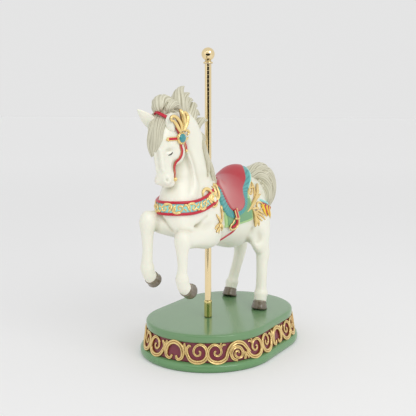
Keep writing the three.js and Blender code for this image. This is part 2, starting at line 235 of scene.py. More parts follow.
# Meshes are made from arrays in millimetres.
def makePiece(name, verts, faces, paint, wash, slotName="painted_resin", node="horse"):
    mesh = bpy.data.meshes.new(name)
    mesh.from_pydata((np.asarray(verts) * mm).tolist(), [], faces)
    mesh.polygons.foreach_set("use_smooth", [True] * len(mesh.polygons))
    layer = mesh.attributes.new("wash", "FLOAT", "POINT")
    layer.data.foreach_set("value", np.asarray(wash, dtype=np.float32))
    mesh.materials.append(paints[paint])
    obj = bpy.data.objects.new(name, mesh)
    bpy.context.scene.collection.objects.link(obj)
    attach(obj, "root")
    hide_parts(node)


class Parcel:  # collects many small forms into one mesh
    def __init__(self):
        self.verts, self.faces, self.wash, self.count = [], [], [], 0

    def add(self, verts, faces, wash=None):
        verts = np.asarray(verts, dtype=float)
        self.verts.append(verts)
        self.faces += [[i + self.count for i in face] for face in faces]
        self.wash.append(np.zeros(len(verts)) if wash is None else np.asarray(wash, dtype=float))
        self.count += len(verts)

    def make(self, name, paint, *place):
        makePiece(name, np.concatenate(self.verts), self.faces, paint, np.concatenate(self.wash), *place)


# Puts points between the rows of a table on a smooth curve through them.
def smoothRows(rows, steps):
    rows = np.asarray(rows, dtype=float)
    last = len(rows) - 1
    out = []
    for i in range(last):
        a, b, c, d = (rows[min(max(i + k, 0), last)] for k in (-1, 0, 1, 2))
        for t in np.arange(steps) / steps:
            slope = 0.5 * (c - a)
            bend = a - 2.5 * b + 2 * c - 0.5 * d
            twist = 1.5 * (b - c) + 0.5 * (d - a)
            out.append(b + t * (slope + t * (bend + t * twist)))
    out.append(rows[last])
    return np.array(out)


def unit(v):
    v = np.asarray(v, dtype=float)
    return v / (np.linalg.norm(v, axis=-1, keepdims=True) + 1e-12)


def evenTurns(sides):
    return 2 * np.pi * np.arange(sides) / sides


def middleTurns(sides):  # half a side further on
    return 2 * np.pi * (np.arange(sides) + 0.5) / sides


# The points and the normals of a list, or a list of lists, of (point, normal).
def gather(spots):
    both = np.array(spots)
    return both[..., 0, :].copy(), both[..., 1, :].copy()


# Faces of an open grid of points, row by row.
def gridFaces(rowCount, n):
    return [[i * n + k, (i + 1) * n + k, (i + 1) * n + k + 1, i * n + k + 1]
            for i in range(rowCount - 1) for k in range(n - 1)]


# Faces of a grid of rings, closed round each ring and capped at both ends.
def ringFaces(ringCount, sides):
    faces = []
    for i in range(ringCount - 1):
        for k in range(sides):
            a, b = i * sides + k, i * sides + (k + 1) % sides
            faces.append([a, b, b + sides, a + sides])
    faces.append([*range(sides)][::-1])
    faces.append([*range((ringCount - 1) * sides, ringCount * sides)])
    return faces


# A loft of elliptical sections. A row is x, y, z, half width across, half depth.
def loft(rows, sides, steps=4, across=(0, 1, 0), tip=0.35, shape=None):
    rows = smoothRows(rows, steps)
    centres = rows[:, :3]
    tangent = unit(np.gradient(centres, axis=0))
    side = np.asarray(across, dtype=float)
    wide = unit(side - tangent * (tangent @ side)[:, None])
    deep = np.cross(tangent, wide)
    angle = middleTurns(sides)
    size = np.ones((len(rows), sides)) if shape is None else shape(angle, len(rows))
    ring = (centres[:, None] + wide[:, None] * (rows[:, 3, None] * np.cos(angle) * size)[..., None]
            + deep[:, None] * (rows[:, 4, None] * np.sin(angle) * size)[..., None])
    first = centres[0] - tangent[0] * tip * min(rows[0, 3:5])
    far = centres[-1] + tangent[-1] * tip * min(rows[-1, 3:5])
    low = first + 0.5 * (ring[0] - centres[0])
    high = far + 0.5 * (ring[-1] - centres[-1])
    verts = np.concatenate([low, ring.reshape(-1, 3), high])
    return verts, ringFaces(len(rows) + 2, sides)


# A block of clay: a distance field that forms are pressed onto and cut out of.
class Clay:
    def __init__(self, low, high, step, band):
        self.low, self.step, self.band = np.array(low, dtype=float), step, band
        self.shape = np.ceil((np.array(high) - self.low) / step).astype(int) + 1
        self.field = np.full(self.shape, band * step, dtype=np.float32)

    def add(self, verts, faces, blend):
        local = (np.asarray(verts) - self.low) / self.step
        quads = [f for f in faces if len(f) == 4]
        tris = [[f[0], f[i], f[i + 1]] for f in faces if len(f) > 4 for i in range(1, len(f) - 1)]
        grid = vdb.FloatGrid.createLevelSetFromPolygons(
            local.astype(np.float32), triangles=np.array(tris, dtype=np.uint32),
            quads=np.array(quads, dtype=np.uint32),
            transform=vdb.createLinearTransform(1.0), halfWidth=self.band)
        lo = np.maximum(np.floor(local.min(0)).astype(int) - self.band, 0)
        hi = np.minimum(np.ceil(local.max(0)).astype(int) + self.band + 1, self.shape)
        piece = np.empty(hi - lo, dtype=np.float32)
        grid.copyToArray(piece, ijk=tuple(int(v) for v in lo))
        self.blend(lo, hi, piece * self.step, blend)

    def blend(self, lo, hi, distance, soft, cut=False):
        part = self.field[lo[0]:hi[0], lo[1]:hi[1], lo[2]:hi[2]]
        if cut:
            near = np.maximum(soft - np.abs(part + distance), 0) / soft
            part[...] = np.maximum(part, -distance) + near * near * soft / 4
        else:
            near = np.maximum(soft - np.abs(part - distance), 0) / soft
            part[...] = np.minimum(part, distance) - near * near * soft / 4

    def region(self, low, high):
        lo = np.maximum(np.floor((np.array(low) - self.low) / self.step).astype(int), 0)
        hi = np.minimum(np.ceil((np.array(high) - self.low) / self.step).astype(int) + 1, self.shape)
        axes = [self.low[n] + self.step * np.arange(lo[n], hi[n]) for n in range(3)]
        return lo, hi, np.stack(np.meshgrid(*axes, indexing="ij"), axis=-1)

    # An egg of clay, turned by degrees about the Y axis.
    def egg(self, centre, radii, soft, turn, cut=False):
        centre, radii = np.array(centre, dtype=float), np.array(radii, dtype=float)
        reach = radii.max() + soft + self.step
        lo, hi, points = self.region(centre - reach, centre + reach)
        c, s = math.cos(math.radians(turn)), math.sin(math.radians(turn))
        d = points - centre
        q = np.stack([c * d[..., 0] - s * d[..., 2], d[..., 1], s * d[..., 0] + c * d[..., 2]], -1)
        inside = np.linalg.norm(q / radii, axis=-1)
        slope = np.linalg.norm(q / radii ** 2, axis=-1) + 1e-9
        self.blend(lo, hi, (inside * (inside - 1) / slope).astype(np.float32), soft, cut)

    # A crease or ridge that follows a row of points with a radius each.
    def trail(self, rows, soft, cut):
        rows = smoothRows(rows, 6)
        reach = rows[:, 3].max() + soft + self.step
        lo, hi, points = self.region(rows[:, :3].min(0) - reach, rows[:, :3].max(0) + reach)
        best = np.full(points.shape[:3], 1e3)
        for row in rows:
            best = np.minimum(best, np.linalg.norm(points - row[:3], axis=-1) - row[3])
        self.blend(lo, hi, best.astype(np.float32), soft, cut)

    def sample(self, field, points):
        local = (points - self.low) / self.step
        base = np.clip(np.floor(local).astype(int), 0, self.shape - 2)
        f = local - base
        total = np.zeros(len(points))
        for corner in np.ndindex(2, 2, 2):
            weight = np.prod(np.where(np.array(corner), f, 1 - f), axis=1)
            i = base + corner
            total += weight * field[i[:, 0], i[:, 1], i[:, 2]]
        return total

    # The field averaged over a few steps each way.
    def averaged(self, reach):
        out = self.field
        for axis in range(3):
            ends = [np.repeat(out.take([k], axis), reach + 1 + k, axis) for k in (0, -1)]
            run = np.cumsum(np.concatenate([ends[0], out, ends[1]], axis), axis)
            count = out.shape[axis]
            high = run.take(range(2 * reach + 1, 2 * reach + 1 + count), axis)
            out = (high - run.take(range(count), axis)) / (2 * reach + 1)
        return out

    def soften(self, reach):
        self.field = self.averaged(reach).astype(np.float32)

    # Surface mesh, and how hollow the surface is at each point (0 flat or proud, 1 in a crease).
    def surface(self, reach):
        grid = vdb.FloatGrid()
        grid.copyFromArray(self.field)
        points, tris, quads = grid.convertToPolygons(isovalue=0.0, adaptivity=0.0)
        points = points.astype(float) * self.step + self.low
        hollow = np.clip(-self.sample(self.averaged(reach), points) / (reach * self.step) * 3.2, 0, 1)
        faces = [list(map(int, q)) for q in quads] + [list(map(int, t)) for t in tris]
        return points, faces, hollow


# The horse's body. A row: centre x, y, z, half width across the animal, half depth.
horse = {
    "step": 1.2,           # of the clay
    "low": (-112, -46), "high": (146, 46, 292),
    "soft": {"barrel": 9.0, "neck": 10, "head": 5, "leg": 7, "cannon": 6},
    "barrel": [
        (-99, 0, 168, 7, 11), (-91, 0, 166, 15, 23), (-74, 0, 163, 22, 35),
        (-50, 0, 159.5, 28.5, 42), (-20, 0, 158.4, 32, 44.9), (12, 0, 160, 31.5, 38),
        (38, 0, 164, 30, 36.5), (66, 0, 170, 28.5, 35), (90, 0, 172, 25, 30),
        (106, 0, 175, 19, 22), (114.5, 0, 177, 11, 12)],
    "neck": [
        (66, 0, 165, 29, 48), (68, 0, 190, 23.5, 44), (67, 0, 208, 19, 37),
        (69, 0, 226, 16, 28.5), (74, 0, 243, 14, 22.5), (83, 0, 257, 13, 20),
        (96, 0, 266, 11, 16.5)],
    "head": [
        (92, 0, 269, 9, 12), (104, 0, 263, 12.5, 18), (111, 0, 252, 13.6, 21),
        (115, 0, 239, 13.4, 20), (117.5, 0, 228, 11, 14.5), (118.5, 0, 218, 9, 11),
        (119, 0, 208, 8.6, 9.6), (120, 0, 201.5, 6, 6.6)],
    "leftForearm": [
        (56, 17, 152, 12, 26), (72, 20, 146, 12, 18), (90, 20, 144.5, 10, 12),
        (107, 19.5, 144.5, 8.5, 10), (120, 19, 145, 7, 8)],
    "leftForeCannon": [
        (116, 20, 152, 5.5, 5.4), (118, 20.2, 144.5, 7.4, 7.8), (118.6, 20, 134, 6.3, 6.8),
        (117.5, 19.5, 117, 5.2, 5.2), (118, 19, 106, 6, 6.2), (115.5, 19, 97.5, 6.8, 7.2),
        (109.5, 19, 91, 6.6, 7)],
    "rightForearm": [
        (60, -15, 158, 11, 26), (80, -16, 157, 11, 17), (101, -17, 159, 9, 12),
        (116, -18, 163, 8.5, 10), (126, -18, 165, 7, 8)],
    "rightForeCannon": [
        (125, -18, 171, 5.5, 6), (127, -18, 163, 7.8, 8.4), (126, -18.5, 151, 6.6, 7.0),
        (125.5, -18.5, 133, 5.4, 5.6), (126.5, -19, 117, 6.2, 6.6), (123.5, -19, 107.5, 6.8, 7.2),
        (117.5, -19, 101, 6.6, 7)],
    "leftHind": [
        (-59, 13, 164, 13.5, 25), (-50, 21, 149, 14.5, 25.5), (-44, 27, 134, 12.5, 21),
        (-41.5, 31, 119, 9.6, 15.5), (-44.8, 33, 107, 7.4, 10.2), (-42, 33.5, 95, 6.8, 8),
        (-39, 34.5, 80, 6.4, 7.2), (-37, 35, 66, 6.5, 7.2), (-35, 35.5, 57, 7.6, 8.2),
        (-32, 36, 49, 7.6, 8.0)],
    "rightHind": [
        (-68, -12, 164, 13.5, 25), (-73, -17, 147, 14, 23), (-81, -20, 126, 10.5, 16.5),
        (-88, -20, 109, 8, 11.5), (-89, -21, 99, 7.6, 10), (-86, -22, 87, 6.8, 7.8),
        (-80.5, -23.5, 73, 6.4, 7.0), (-75.5, -24.5, 61, 6.5, 7.2), (-73, -25, 55, 7.4, 8.0),
        (-70, -25, 48.5, 7.4, 7.8)],
}


def bothSides(centre, *rest):  # an egg and its mirror image
    return [(centre, *rest), ((centre[0], -centre[1], centre[2]), *rest)]


# Carving on top of the main forms. An egg: centre, radii, softness, turn. Ridges and creases are
# rows of x, y, z, radius; a radius below zero gives a shallower valley than the softness alone.
carving = {
    "bodyRidgeSoft": 5, "bodyCreaseSoft": 6, "faceRidgeSoft": 2.5, "faceCreaseSoft": 1.2,
    "bodyEggs": [
        ((-45, 24, 132), (17, 13, 17), 5, -12),        # near thigh
        ((-78, -17, 128), (16, 12, 17), 5, -12),
        *bothSides((104, 8, 160), (13, 13, 12), 6, 0),  # breast muscles
        ((-44, 33, 104.5), (7.4, 6.2, 8.4), 5, 0),     # hocks
        ((-88, -21, 105.5), (7.6, 6.4, 8.4), 5, 0),
        ((-35.5, 35.6, 57.5), (8.6, 8.2, 6), 2, 0),    # fetlocks
        ((-73.5, -25, 57), (8.4, 8.0, 6), 2, 0),
        ((117.5, 19, 104), (7, 6.8, 7), 2, 0),
        ((125.8, -19, 114), (7.2, 7, 7), 2, 0)],
    "bodyHollows": [
        *bothSides((84, 27, 226), (16, 7, 20), 9, 0),  # behind the jaw
        *bothSides((-74, 32, 193), (24, 12.5, 18), 9, 0),  # slopes of the croup
        ((-22, 38, 128), (12, 8, 12), 6, 0),           # flank in front of the thigh
        ((-42, -36, 128), (12, 8, 12), 6, 0)],
    "bodyRidges": [
        [(92, 11, 232, 1.0), (89, 15, 219, 1.7), (90, 18.5, 203, 2.0), (96, 19, 190, 1.2)],
        [(92, -11, 232, 1.0), (89, -15, 219, 1.7), (90, -18.5, 203, 2.0), (96, -19, 190, 1.2)]],
    "bodyCreases": [
        [(118.2, -7.5, 171, -1.4), (117, -1, 162.7, -0.9), (115.4, 5.4, 153.5, -0.9)],
        [(103, 17, 155.5, -1.4), (98, 21, 157.2, -1.1), (93.4, 23.8, 159, -1.0),
         (88.8, 27.2, 163.4, -1.1), (83, 28.8, 166.6, -1.4)],
        [(-22, 30, 139, -1.2), (-24, 31.5, 129, -0.4), (-28, 33.5, 121, -1.2)],
        [(-58, -30, 133, -1.2), (-62, -29, 122, -0.4), (-69, -28.5, 115, -1.2)]],
    "faceEggs": [
        ((107.5, 8.2, 235), (11, 5.4, 12), 4, 0),      # cheek
        ((124, 8.8, 242), (7, 4.2, 3.4), 3, 20),       # brow bone
        ((114.5, 3.4, 203.4), (4.8, 4.2, 4.0), 3, 0),  # chin
        ((123.6, 5.4, 206.8), (5.0, 4.2, 5.0), 2.5, 0),    # nostril flare
        ((125.4, 9.2, 234.6), (4.4, 3.4, 3.2), 1.5, 0)],   # lid
    "faceHollows": [
        ((131, 12, 238), (6, 3.8, 7.5), 4, 0),         # eye socket
        ((115.5, 12.2, 220), (6.5, 4, 7.5), 4, 0),     # hollow behind the muzzle
        ((127.0, 7.4, 208.2), (1.9, 2.0, 3.0), 1.0, 25)],  # nostril
    "faceRidges": [
        [(123, 9.8, 230, 1.0), (122.5, 9.0, 224, 1.4), (121.5, 8.0, 217, 0.9)],
        [(134, 3.4, 238, 0.8), (131.6, 3.6, 228, 1.1), (129.4, 3.6, 217, 1.0)]],
    "faceCreases": [
        [(111.5, 7.6, 206.5, 0.4), (116, 8.4, 203.4, 0.9), (121, 7.0, 201.8, 0.9),
         (125.5, 3.6, 201.2, 0.6), (126.2, 0, 201.2, 0.5)],
        [(129.3, 7.8, 238.6, 0.4), (125.5, 11.2, 239.4, 0.7), (121.4, 12.4, 238.6, 0.3)],
        [(128.5, 8.2, 229.5, 0.3), (125.6, 8.8, 221, 0.7), (124.2, 8.4, 213.5, 0.4)],
        [(100, 11, 246, 0.3), (98, 11, 238, 0.8), (99.5, 10.5, 229, 0.9), (104, 9.8, 222, 0.4)]],
}


def carve(clay, part, side=1):
    flip = np.array([1, side, 1, 1.0])
    for centre, radii, soft, turn in carving[part + "Eggs"]:
        clay.egg(np.array(centre) * flip[:3], radii, soft, turn)
    for rows in carving[part + "Ridges"]:
        clay.trail(np.array(rows) * flip, carving[part + "RidgeSoft"], cut=False)
    for centre, radii, soft, turn in carving[part + "Hollows"]:
        clay.egg(np.array(centre) * flip[:3], radii, soft, turn, cut=True)
    for rows in carving[part + "Creases"]:
        clay.trail(np.array(rows) * flip, carving[part + "CreaseSoft"], cut=True)


def treeOf(points, faces):
    return BVHTree.FromPolygons([Vector(p) for p in points], faces)


# Also gives what later pieces are laid on: the whole body, and the barrel and neck by themselves.
def makeHorse():
    clay = Clay((*horse["low"], plinthTop), horse["high"], horse["step"], 9)

    def press(sides, kind, *parts):
        for part in parts:
            clay.add(*loft(horse[part], sides), horse["soft"][kind])

    press(48, "barrel", "barrel")
    press(48, "neck", "neck")
    clay.soften(2)
    torso = treeOf(*clay.surface(1)[:2])
    press(40, "head", "head")
    press(32, "leg", "leftForearm", "rightForearm", "leftHind", "rightHind")
    press(32, "cannon", "leftForeCannon", "rightForeCannon")
    clay.soften(1)
    carve(clay, "body")
    carve(clay, "face", 1)
    carve(clay, "face", -1)
    points, faces, hollow = clay.surface(3)
    # The body's hollowness is painted as shade in its creases.
    makePiece("horseBody", points, faces, "ivory", hollow)
    print("horse body:", len(points), "points")
    return treeOf(points, faces), torso


bodyTree, torsoTree = makeHorse()
rays = {"flank": 70, "barrel": 90, "barrelMiddle": 163}  # how far out rays start, and round what


# Where a ray meets the body, and the direction that the surface faces there.
def hitBody(origin, direction, tree=bodyTree):
    hit = tree.ray_cast(Vector(origin), Vector(direction))
    if hit[0] is None:
        hit = tree.find_nearest(Vector(origin))
    return np.array(hit[0]), np.array(hit[1])


def nearBody(point):
    spot, normal, _, _ = bodyTree.find_nearest(Vector(point))
    return np.array(spot), np.array(normal)


# Places flat drawings (x, z) on one flank of the horse.
def flank(side):
    def place(x, z):
        return hitBody((x, side * rays["flank"], z), (0, -side, 0))
    return place


# Places (x, angle from the spine) on the barrel.
def barrelSpot(x, angle):
    turn = math.radians(angle)
    out = np.array([0, math.sin(turn), math.cos(turn)])
    return hitBody(np.array([x, 0, rays["barrelMiddle"]]) + out * rays["barrel"], -out)


# Sweeps a section along a path. Each row of sections is (across, up) in the surface's frame.
def sweep(points, normals, sections, parcel, wash=None):
    points, normals = np.asarray(points, dtype=float), unit(normals)
    tangent = unit(np.gradient(points, axis=0))
    side = unit(np.cross(tangent, normals))
    up = np.cross(side, tangent)
    sections = np.asarray(sections, dtype=float)
    ring = (points[:, None] + side[:, None] * sections[..., 0, None]
            + up[:, None] * sections[..., 1, None])
    sides = sections.shape[1]
    parcel.add(ring.reshape(-1, 3), ringFaces(len(points), sides), wash)


# A raised rounded ridge that tapers. Rows are positions on the surface with a half width.
def ridge(parcel, points, normals, half, height, sides, wash=0.75):
    sink, bury = 0.2, 0.2  # a share of its height, and a depth for all
    angle = evenTurns(sides)
    across = np.cos(angle)[None, :] * half[:, None]
    up = (np.sin(angle)[None, :] * 0.5 + 0.5 - sink) * 2 * half[:, None] * height - bury
    # Painted shade: the sides darken towards the surface that the ridge stands on.
    low = np.clip((0.45 - np.sin(angle)) * wash, 0, 1)
    sweep(points, normals, np.stack([across, up], -1), parcel, np.tile(low, len(half)))


# A flat strap with thin edges laid over a path of points near the body.
def strap(parcel, edgeParcel, path, width, thick, edge, lift=0.0, middle=None):
    path = smoothRows(path, 8)
    if middle is None:
        points, normals = gather([nearBody(p) for p in path])
    else:  # it runs free of the body, facing away from this middle
        points, normals = gather([(p, unit(p - np.array(middle))) for p in path])
    for _ in range(4):
        points[1:-1] = (points[:-2] + 2 * points[1:-1] + points[2:]) / 4
        normals[1:-1] = unit(normals[:-2] + 2 * normals[1:-1] + normals[2:])
    points = points + normals * lift
    half = width / 2
    section = [(-half, -1), (-half, thick * 0.7), (-half * 0.7, thick), (half * 0.7, thick),
               (half, thick * 0.7), (half, -1)]
    sweep(points, normals, np.tile(section, (len(points), 1, 1)), parcel)
    if edge:
        side = unit(np.cross(np.gradient(points, axis=0), normals))
        for sign in (-1, 1):
            ridge(edgeParcel, points + side * sign * half + normals * thick * 0.35, normals,
                  np.full(len(points), edge), 1.0, 6)


# A flat spiral: rows of (x, y, half width), wound in from its outer end to its eye.
def spiralRows(centre, reach, eye, start, turns, half):
    t = np.linspace(0, 1, 26)
    angle = np.radians(start) + turns * 2 * np.pi * t
    radius = reach + (eye - reach) * t ** 0.8
    taper = half * (0.55 + 0.45 * np.sin(np.pi * np.clip(t * 1.15, 0, 1))) * (1 - 0.35 * t)
    return np.stack([centre[0] + radius * np.cos(angle), centre[1] + radius * np.sin(angle), taper], -1)


# Lays flat rows (u, v, half width) on a surface as a ridge.
def lay(parcel, place, rows, height, steps, wash=0.75, sides=8, lift=0.0):
    rows = smoothRows(rows, steps) if steps > 1 else np.asarray(rows, dtype=float)
    points, normals = gather([place(u, v) for u, v, _ in rows])
    normals = unit(normals)
    for _ in range(2):
        normals[1:-1] = unit(normals[:-2] + normals[1:-1] + normals[2:])
    ridge(parcel, points + normals * lift, normals, rows[:, 2], height, sides, wash=wash)


# A gilded ridge with a groove down its middle; painted shade lies in the groove and down its outer sides.
def doubleRidge(parcel, place, rows, height, lift, shade=1.0):
    rows = smoothRows(rows, 5)
    points, normals = gather([place(u, v) for u, v, _ in rows])
    normals = unit(normals)
    shape = np.array([(-1, -0.6), (-1, 0.35), (-0.75, 0.9), (-0.42, 1.0), (-0.12, 0.5), (0.12, 0.5),
                      (0.42, 1.0), (0.75, 0.9), (1, 0.35), (1, -0.6)])
    tone = np.array([1, 0.75, 0.15, 0.0, 0.5, 0.5, 0.0, 0.15, 0.75, 1])
    sections = shape[None] * rows[:, 2][:, None, None] * (1, height)
    sweep(points + normals * lift, normals, sections, parcel, np.tile(tone * shade, len(rows)))


# A bead pressed on a surface.
def bead(parcel, spot, normal, radius, squash=0.7, sides=14):
    normal = unit(normal)
    side = unit(np.cross(normal, (0.31, 0.2, 0.93)))
    up = np.cross(normal, side)
    rings = []
    for lat in np.linspace(-75, 84, 9):
        r, h = math.cos(math.radians(lat)) * radius, math.sin(math.radians(lat)) * radius * squash
        turn = evenTurns(sides)
        rings.append(spot + normal * h + np.outer(np.cos(turn), side) * r
                     + np.outer(np.sin(turn), up) * r)
    parcel.add(np.concatenate(rings), ringFaces(len(rings), sides))


# Hooves: short horn cones with fine upright grooves.
hoof = {
    "sides": 64,
    "grooves": 13,
    "grooveDepth": 0.006,
    "swell": [(-0.12, -1.6), (0.0, 0.2), (0.1, 0.45), (0.22, 0.1), (0.5, 0), (0.85, 0), (1.0, -0.5)],
    "pieces": [  # coronet centre, sole centre, coronet radius, sole radius
        ((111.5, 19, 92.5), (101, 19, 87.5), 7.0, 8.9),
        ((119, -19, 102.5), (112, -19, 97), 7.2, 8.6),
        ((-31.5, 36, 49.6), (-29.5, 36, 40.1), 7.6, 9.9),
        ((-70, -25, 49.4), (-66.5, -25, 40.1), 7.4, 9.8)],
}


def grooved(angle, count):
    return np.tile(1 + hoof["grooveDepth"] * np.cos(angle * hoof["grooves"]), (count, 1))


hooves = Parcel()
for coronet, sole, top, low in hoof["pieces"]:
    coronet, sole = np.array(coronet, dtype=float), np.array(sole, dtype=float)
    rows = []
    for t, swell in hoof["swell"]:
        r = top + (low - top) * t + swell
        rows.append((*(coronet + (sole - coronet) * t), r, r))
    sides = hoof["sides"]
    verts, faces = loft(rows, sides, 3, tip=0.0, shape=grooved)
    ringCount = len(verts) // sides
    # Painted shade in the fine grooves; the horn is also darker towards the sole, with a dark band at the
    # coronet.
    stripe = np.tile(0.5 - 0.5 * np.cos(middleTurns(sides) * hoof["grooves"]), ringCount)
    depth = np.repeat(np.linspace(0, 1, ringCount), sides)
    hooves.add(verts, faces, np.clip(stripe * 0.12 + 0.7 * (depth - 0.4) + 0.6 * (depth < 0.12), 0, 1))
hooves.make("hooves", "hoof")
print("hooves:", len(hoof["pieces"]))


# Hair is laid in thick locks with combed grooves. A row is x, y, z, half width, half thickness.
hair = {
    "sides": 72,
    "groove": 0.058,
    "firstSeed": 11,
    "ribs": {"tail": 15},  # the other locks have 11 to 16, drawn at random
    "mane": [
        [(98, 2, 268, 7, 6), (98, 1, 281, 9, 7), (94, 0, 292, 7, 5.5), (88, -1, 299, 4, 3.6),
         (79, -2, 303, 0.8, 0.8)],
        [(90, 1, 270, 8, 7), (90, 1, 283, 8, 6.5), (85, 2, 292, 5, 4.5), (76, 3, 296, 0.8, 0.8)],
        [(84, -1, 268, 8, 7), (82, -1, 281, 7, 6), (74, 0, 288, 4, 4), (66, 1, 289, 0.8, 0.8)],
        [(77, 1, 263, 7, 7), (74, 2, 275, 7, 6), (67, 2, 283, 4.5, 4), (59, 2, 282, 0.8, 0.8)],
        [(71, -1, 258, 7, 7), (66, -1, 269, 6, 6), (58, -1, 276, 4, 4), (50, 0, 273, 0.8, 0.8)],
        [(66, 1, 254, 6, 7), (59, 2, 263, 5.5, 5), (50, 3, 267, 4, 3.6), (40, 4, 267, 0.8, 0.8)],
        [(62, 2, 246, 5, 5), (55, 3, 251, 3.6, 3.6), (49, 4, 249, 2.4, 2.4), (46, 5, 245, 0.7, 0.7)],
        [(57, 5, 240, 3.4, 4), (50, 9, 226, 3.4, 3), (44, 12, 212, 3, 2.6), (42, 14, 199, 1, 1)],
        [(54, 1, 238, 4, 4), (46, 4, 224, 3.6, 3), (38, 6, 212, 3, 2.6), (32, 8, 206, 1, 1)],
        [(92, -5, 268, 6, 6), (94, -8, 278, 6, 5), (90, -12, 282, 4, 4), (83, -16, 281, 0.8, 0.8)],
        [(80, -6, 262, 6, 6), (78, -10, 268, 6, 5), (71, -14, 268, 4, 4), (63, -16, 263, 0.8, 0.8)],
        [(68, -6, 250, 6, 6), (64, -11, 254, 6, 5), (57, -15, 251, 4, 4), (50, -17, 245, 0.8, 0.8)],
        [(58, -6, 236, 6, 6), (53, -12, 238, 6, 5), (47, -16, 233, 4, 4), (43, -17, 225, 0.8, 0.8)],
        [(50, -5, 222, 6, 6), (44, -11, 222, 6, 5), (39, -15, 215, 4, 4), (37, -17, 207, 0.8, 0.8)],
        [(60, 8, 250, 2.6, 2.6), (66, 14.5, 241, 2.4, 2), (65.5, 16.5, 232, 2.4, 1.8),
         (63.5, 18, 222, 2.2, 1.8), (64, 19.5, 213, 1.6, 1.4), (67, 20.5, 207, 0.6, 0.6)],
        [(55, 8, 240, 2.8, 2.4), (60, 14, 231, 2.8, 2), (59, 17, 221, 2.6, 1.9), (57, 19.5, 211, 2, 1.6),
         (58, 22, 202, 0.6, 0.6)],
        [(49, 6, 230, 3, 2.6), (53, 12, 222, 2.8, 2), (51, 16, 212, 2.4, 1.8), (49, 19, 203, 1.6, 1.4),
         (50, 21, 196, 0.6, 0.6)]],
    "forelock": [
        [(103, -2, 274, 6, 6), (108, -3, 284, 8, 6), (115, -4, 288, 8, 6), (121, -5, 287, 7.5, 5.5),
         (124, -5, 282, 6.5, 4.4), (121, -6, 277, 3, 2.4)],
        [(102, -7, 272, 6, 5), (109, -9, 281, 7, 5), (116, -9, 284, 6.4, 5), (121, -9, 280, 5.5, 4),
         (120.5, -9, 275, 2.4, 2)],
        [(100, 3, 275, 6, 5), (105, 3, 282, 7, 5), (112, 3, 284, 6.5, 5), (117, 2, 280, 5, 4),
         (116, 1, 275, 2.4, 2)],
        [(104, 0, 270, 7, 5), (110, -1, 276, 8, 5), (116, -3, 277, 7, 4.6), (119, -4, 273, 5, 3.4)],
        [(112, -2, 273, 5, 3.4), (122.5, -2.5, 269, 5.2, 3.2), (129.5, -3, 259, 5.2, 3),
         (133, -3, 248, 4.8, 2.8), (133, -4, 239, 3.4, 2.2), (132.6, -6, 232, 0.8, 0.7)],
        [(113, 3, 272, 4, 3), (122.5, 2.5, 268, 4, 3), (129.5, 2, 258, 4, 2.6), (132.6, 2, 248, 3.6, 2.4),
         (133, 0, 241, 2.4, 2), (132.8, -3, 235, 0.7, 0.7)],
        [(113, -6, 274, 5, 3.4), (122.5, -8, 269, 5, 3.2), (129, -8, 258, 5, 3),
         (131.8, -8.5, 247, 4.8, 2.8), (131.6, -9, 238, 3, 2.2), (131.4, -8, 231, 0.8, 0.7)],
        [(114, -8, 275, 4, 3), (119, -12, 271, 4.8, 4), (122.4, -12.5, 262, 4.8, 4),
         (124, -12.5, 252, 4.6, 3.6), (126.4, -12.5, 243, 4, 3.2), (129, -10, 234, 0.8, 0.8)]],
    "tail": [
        [(-74, 0, 180, 9, 9), (-82, 0, 192, 11, 11), (-92, 0, 197, 13, 13), (-102, 0, 190, 13, 15),
         (-108, 0, 176, 12, 14), (-109, 0, 163, 9, 10), (-107, 0, 152, 5, 5), (-105, 1, 146, 1, 1)],
        [(-74, 6, 184, 6, 7), (-82, 9, 194, 8, 8), (-92, 11, 199, 8.5, 8), (-103, 11, 194, 8.5, 8),
         (-111, 10, 181, 8.5, 8), (-114, 8, 167, 7, 7), (-111, 6, 156, 4.4, 4.4),
         (-106, 5, 148, 0.8, 0.8)],
        [(-76, 8, 178, 5, 6), (-84, 12, 184, 7, 7), (-93, 14, 185, 7.5, 7), (-100, 14, 176, 7, 6.6),
         (-102, 12, 165, 6, 6), (-99, 9, 156, 3.6, 4), (-95, 7, 150, 0.8, 0.8)],
        [(-74, -6, 184, 6, 7), (-82, -9, 194, 8, 8), (-92, -11, 199, 8.5, 8), (-103, -11, 194, 8.5, 8),
         (-112, -10, 181, 8.5, 8), (-115, -9, 167, 7, 7), (-113, -8, 156, 4.4, 4.4),
         (-108, -6, 148, 0.8, 0.8)],
        [(-76, -8, 178, 5, 6), (-84, -12, 184, 7, 7), (-93, -14, 185, 7.5, 7), (-101, -14, 176, 7, 6.6),
         (-104, -12, 165, 6, 6), (-102, -9, 156, 3.6, 4), (-98, -7, 150, 0.8, 0.8)],
        [(-62, 4, 196, 6, 5), (-70, 8, 200, 7, 6), (-78, 12, 197, 7.5, 6), (-84, 15.5, 189, 7.5, 6),
         (-86, 18, 179, 7, 5.6), (-85, 19, 169, 5.4, 4.6), (-82, 18.5, 161, 0.8, 0.8)],
        [(-64, 2, 199, 6, 5), (-74, 5, 205, 8, 6), (-85, 9, 204, 8, 6), (-94, 13, 195, 8, 6),
         (-98, 16, 183, 7.5, 6), (-98, 16, 171, 6, 5), (-94, 15, 160, 3.6, 3.4),
         (-90, 14, 154, 0.8, 0.8)],
        [(-62, -4, 196, 6, 5), (-71, -8, 200, 7, 6), (-80, -12, 197, 7.5, 6), (-86, -15.5, 188, 7.5, 6),
         (-89, -18, 177, 7, 5.6), (-88, -19, 166, 5.4, 4.6), (-85, -18, 158, 0.8, 0.8)],
        [(-76, 0, 189, 6, 7), (-84, 1, 201, 8, 6.4), (-94, 2, 206.5, 9, 6), (-106, 2, 201, 9, 6.5),
         (-116, 1, 186, 9, 6.5), (-119.5, 0, 171, 7.5, 6), (-117, -1, 159, 4.5, 4.5),
         (-111, -2, 150, 0.8, 0.8)]],
}


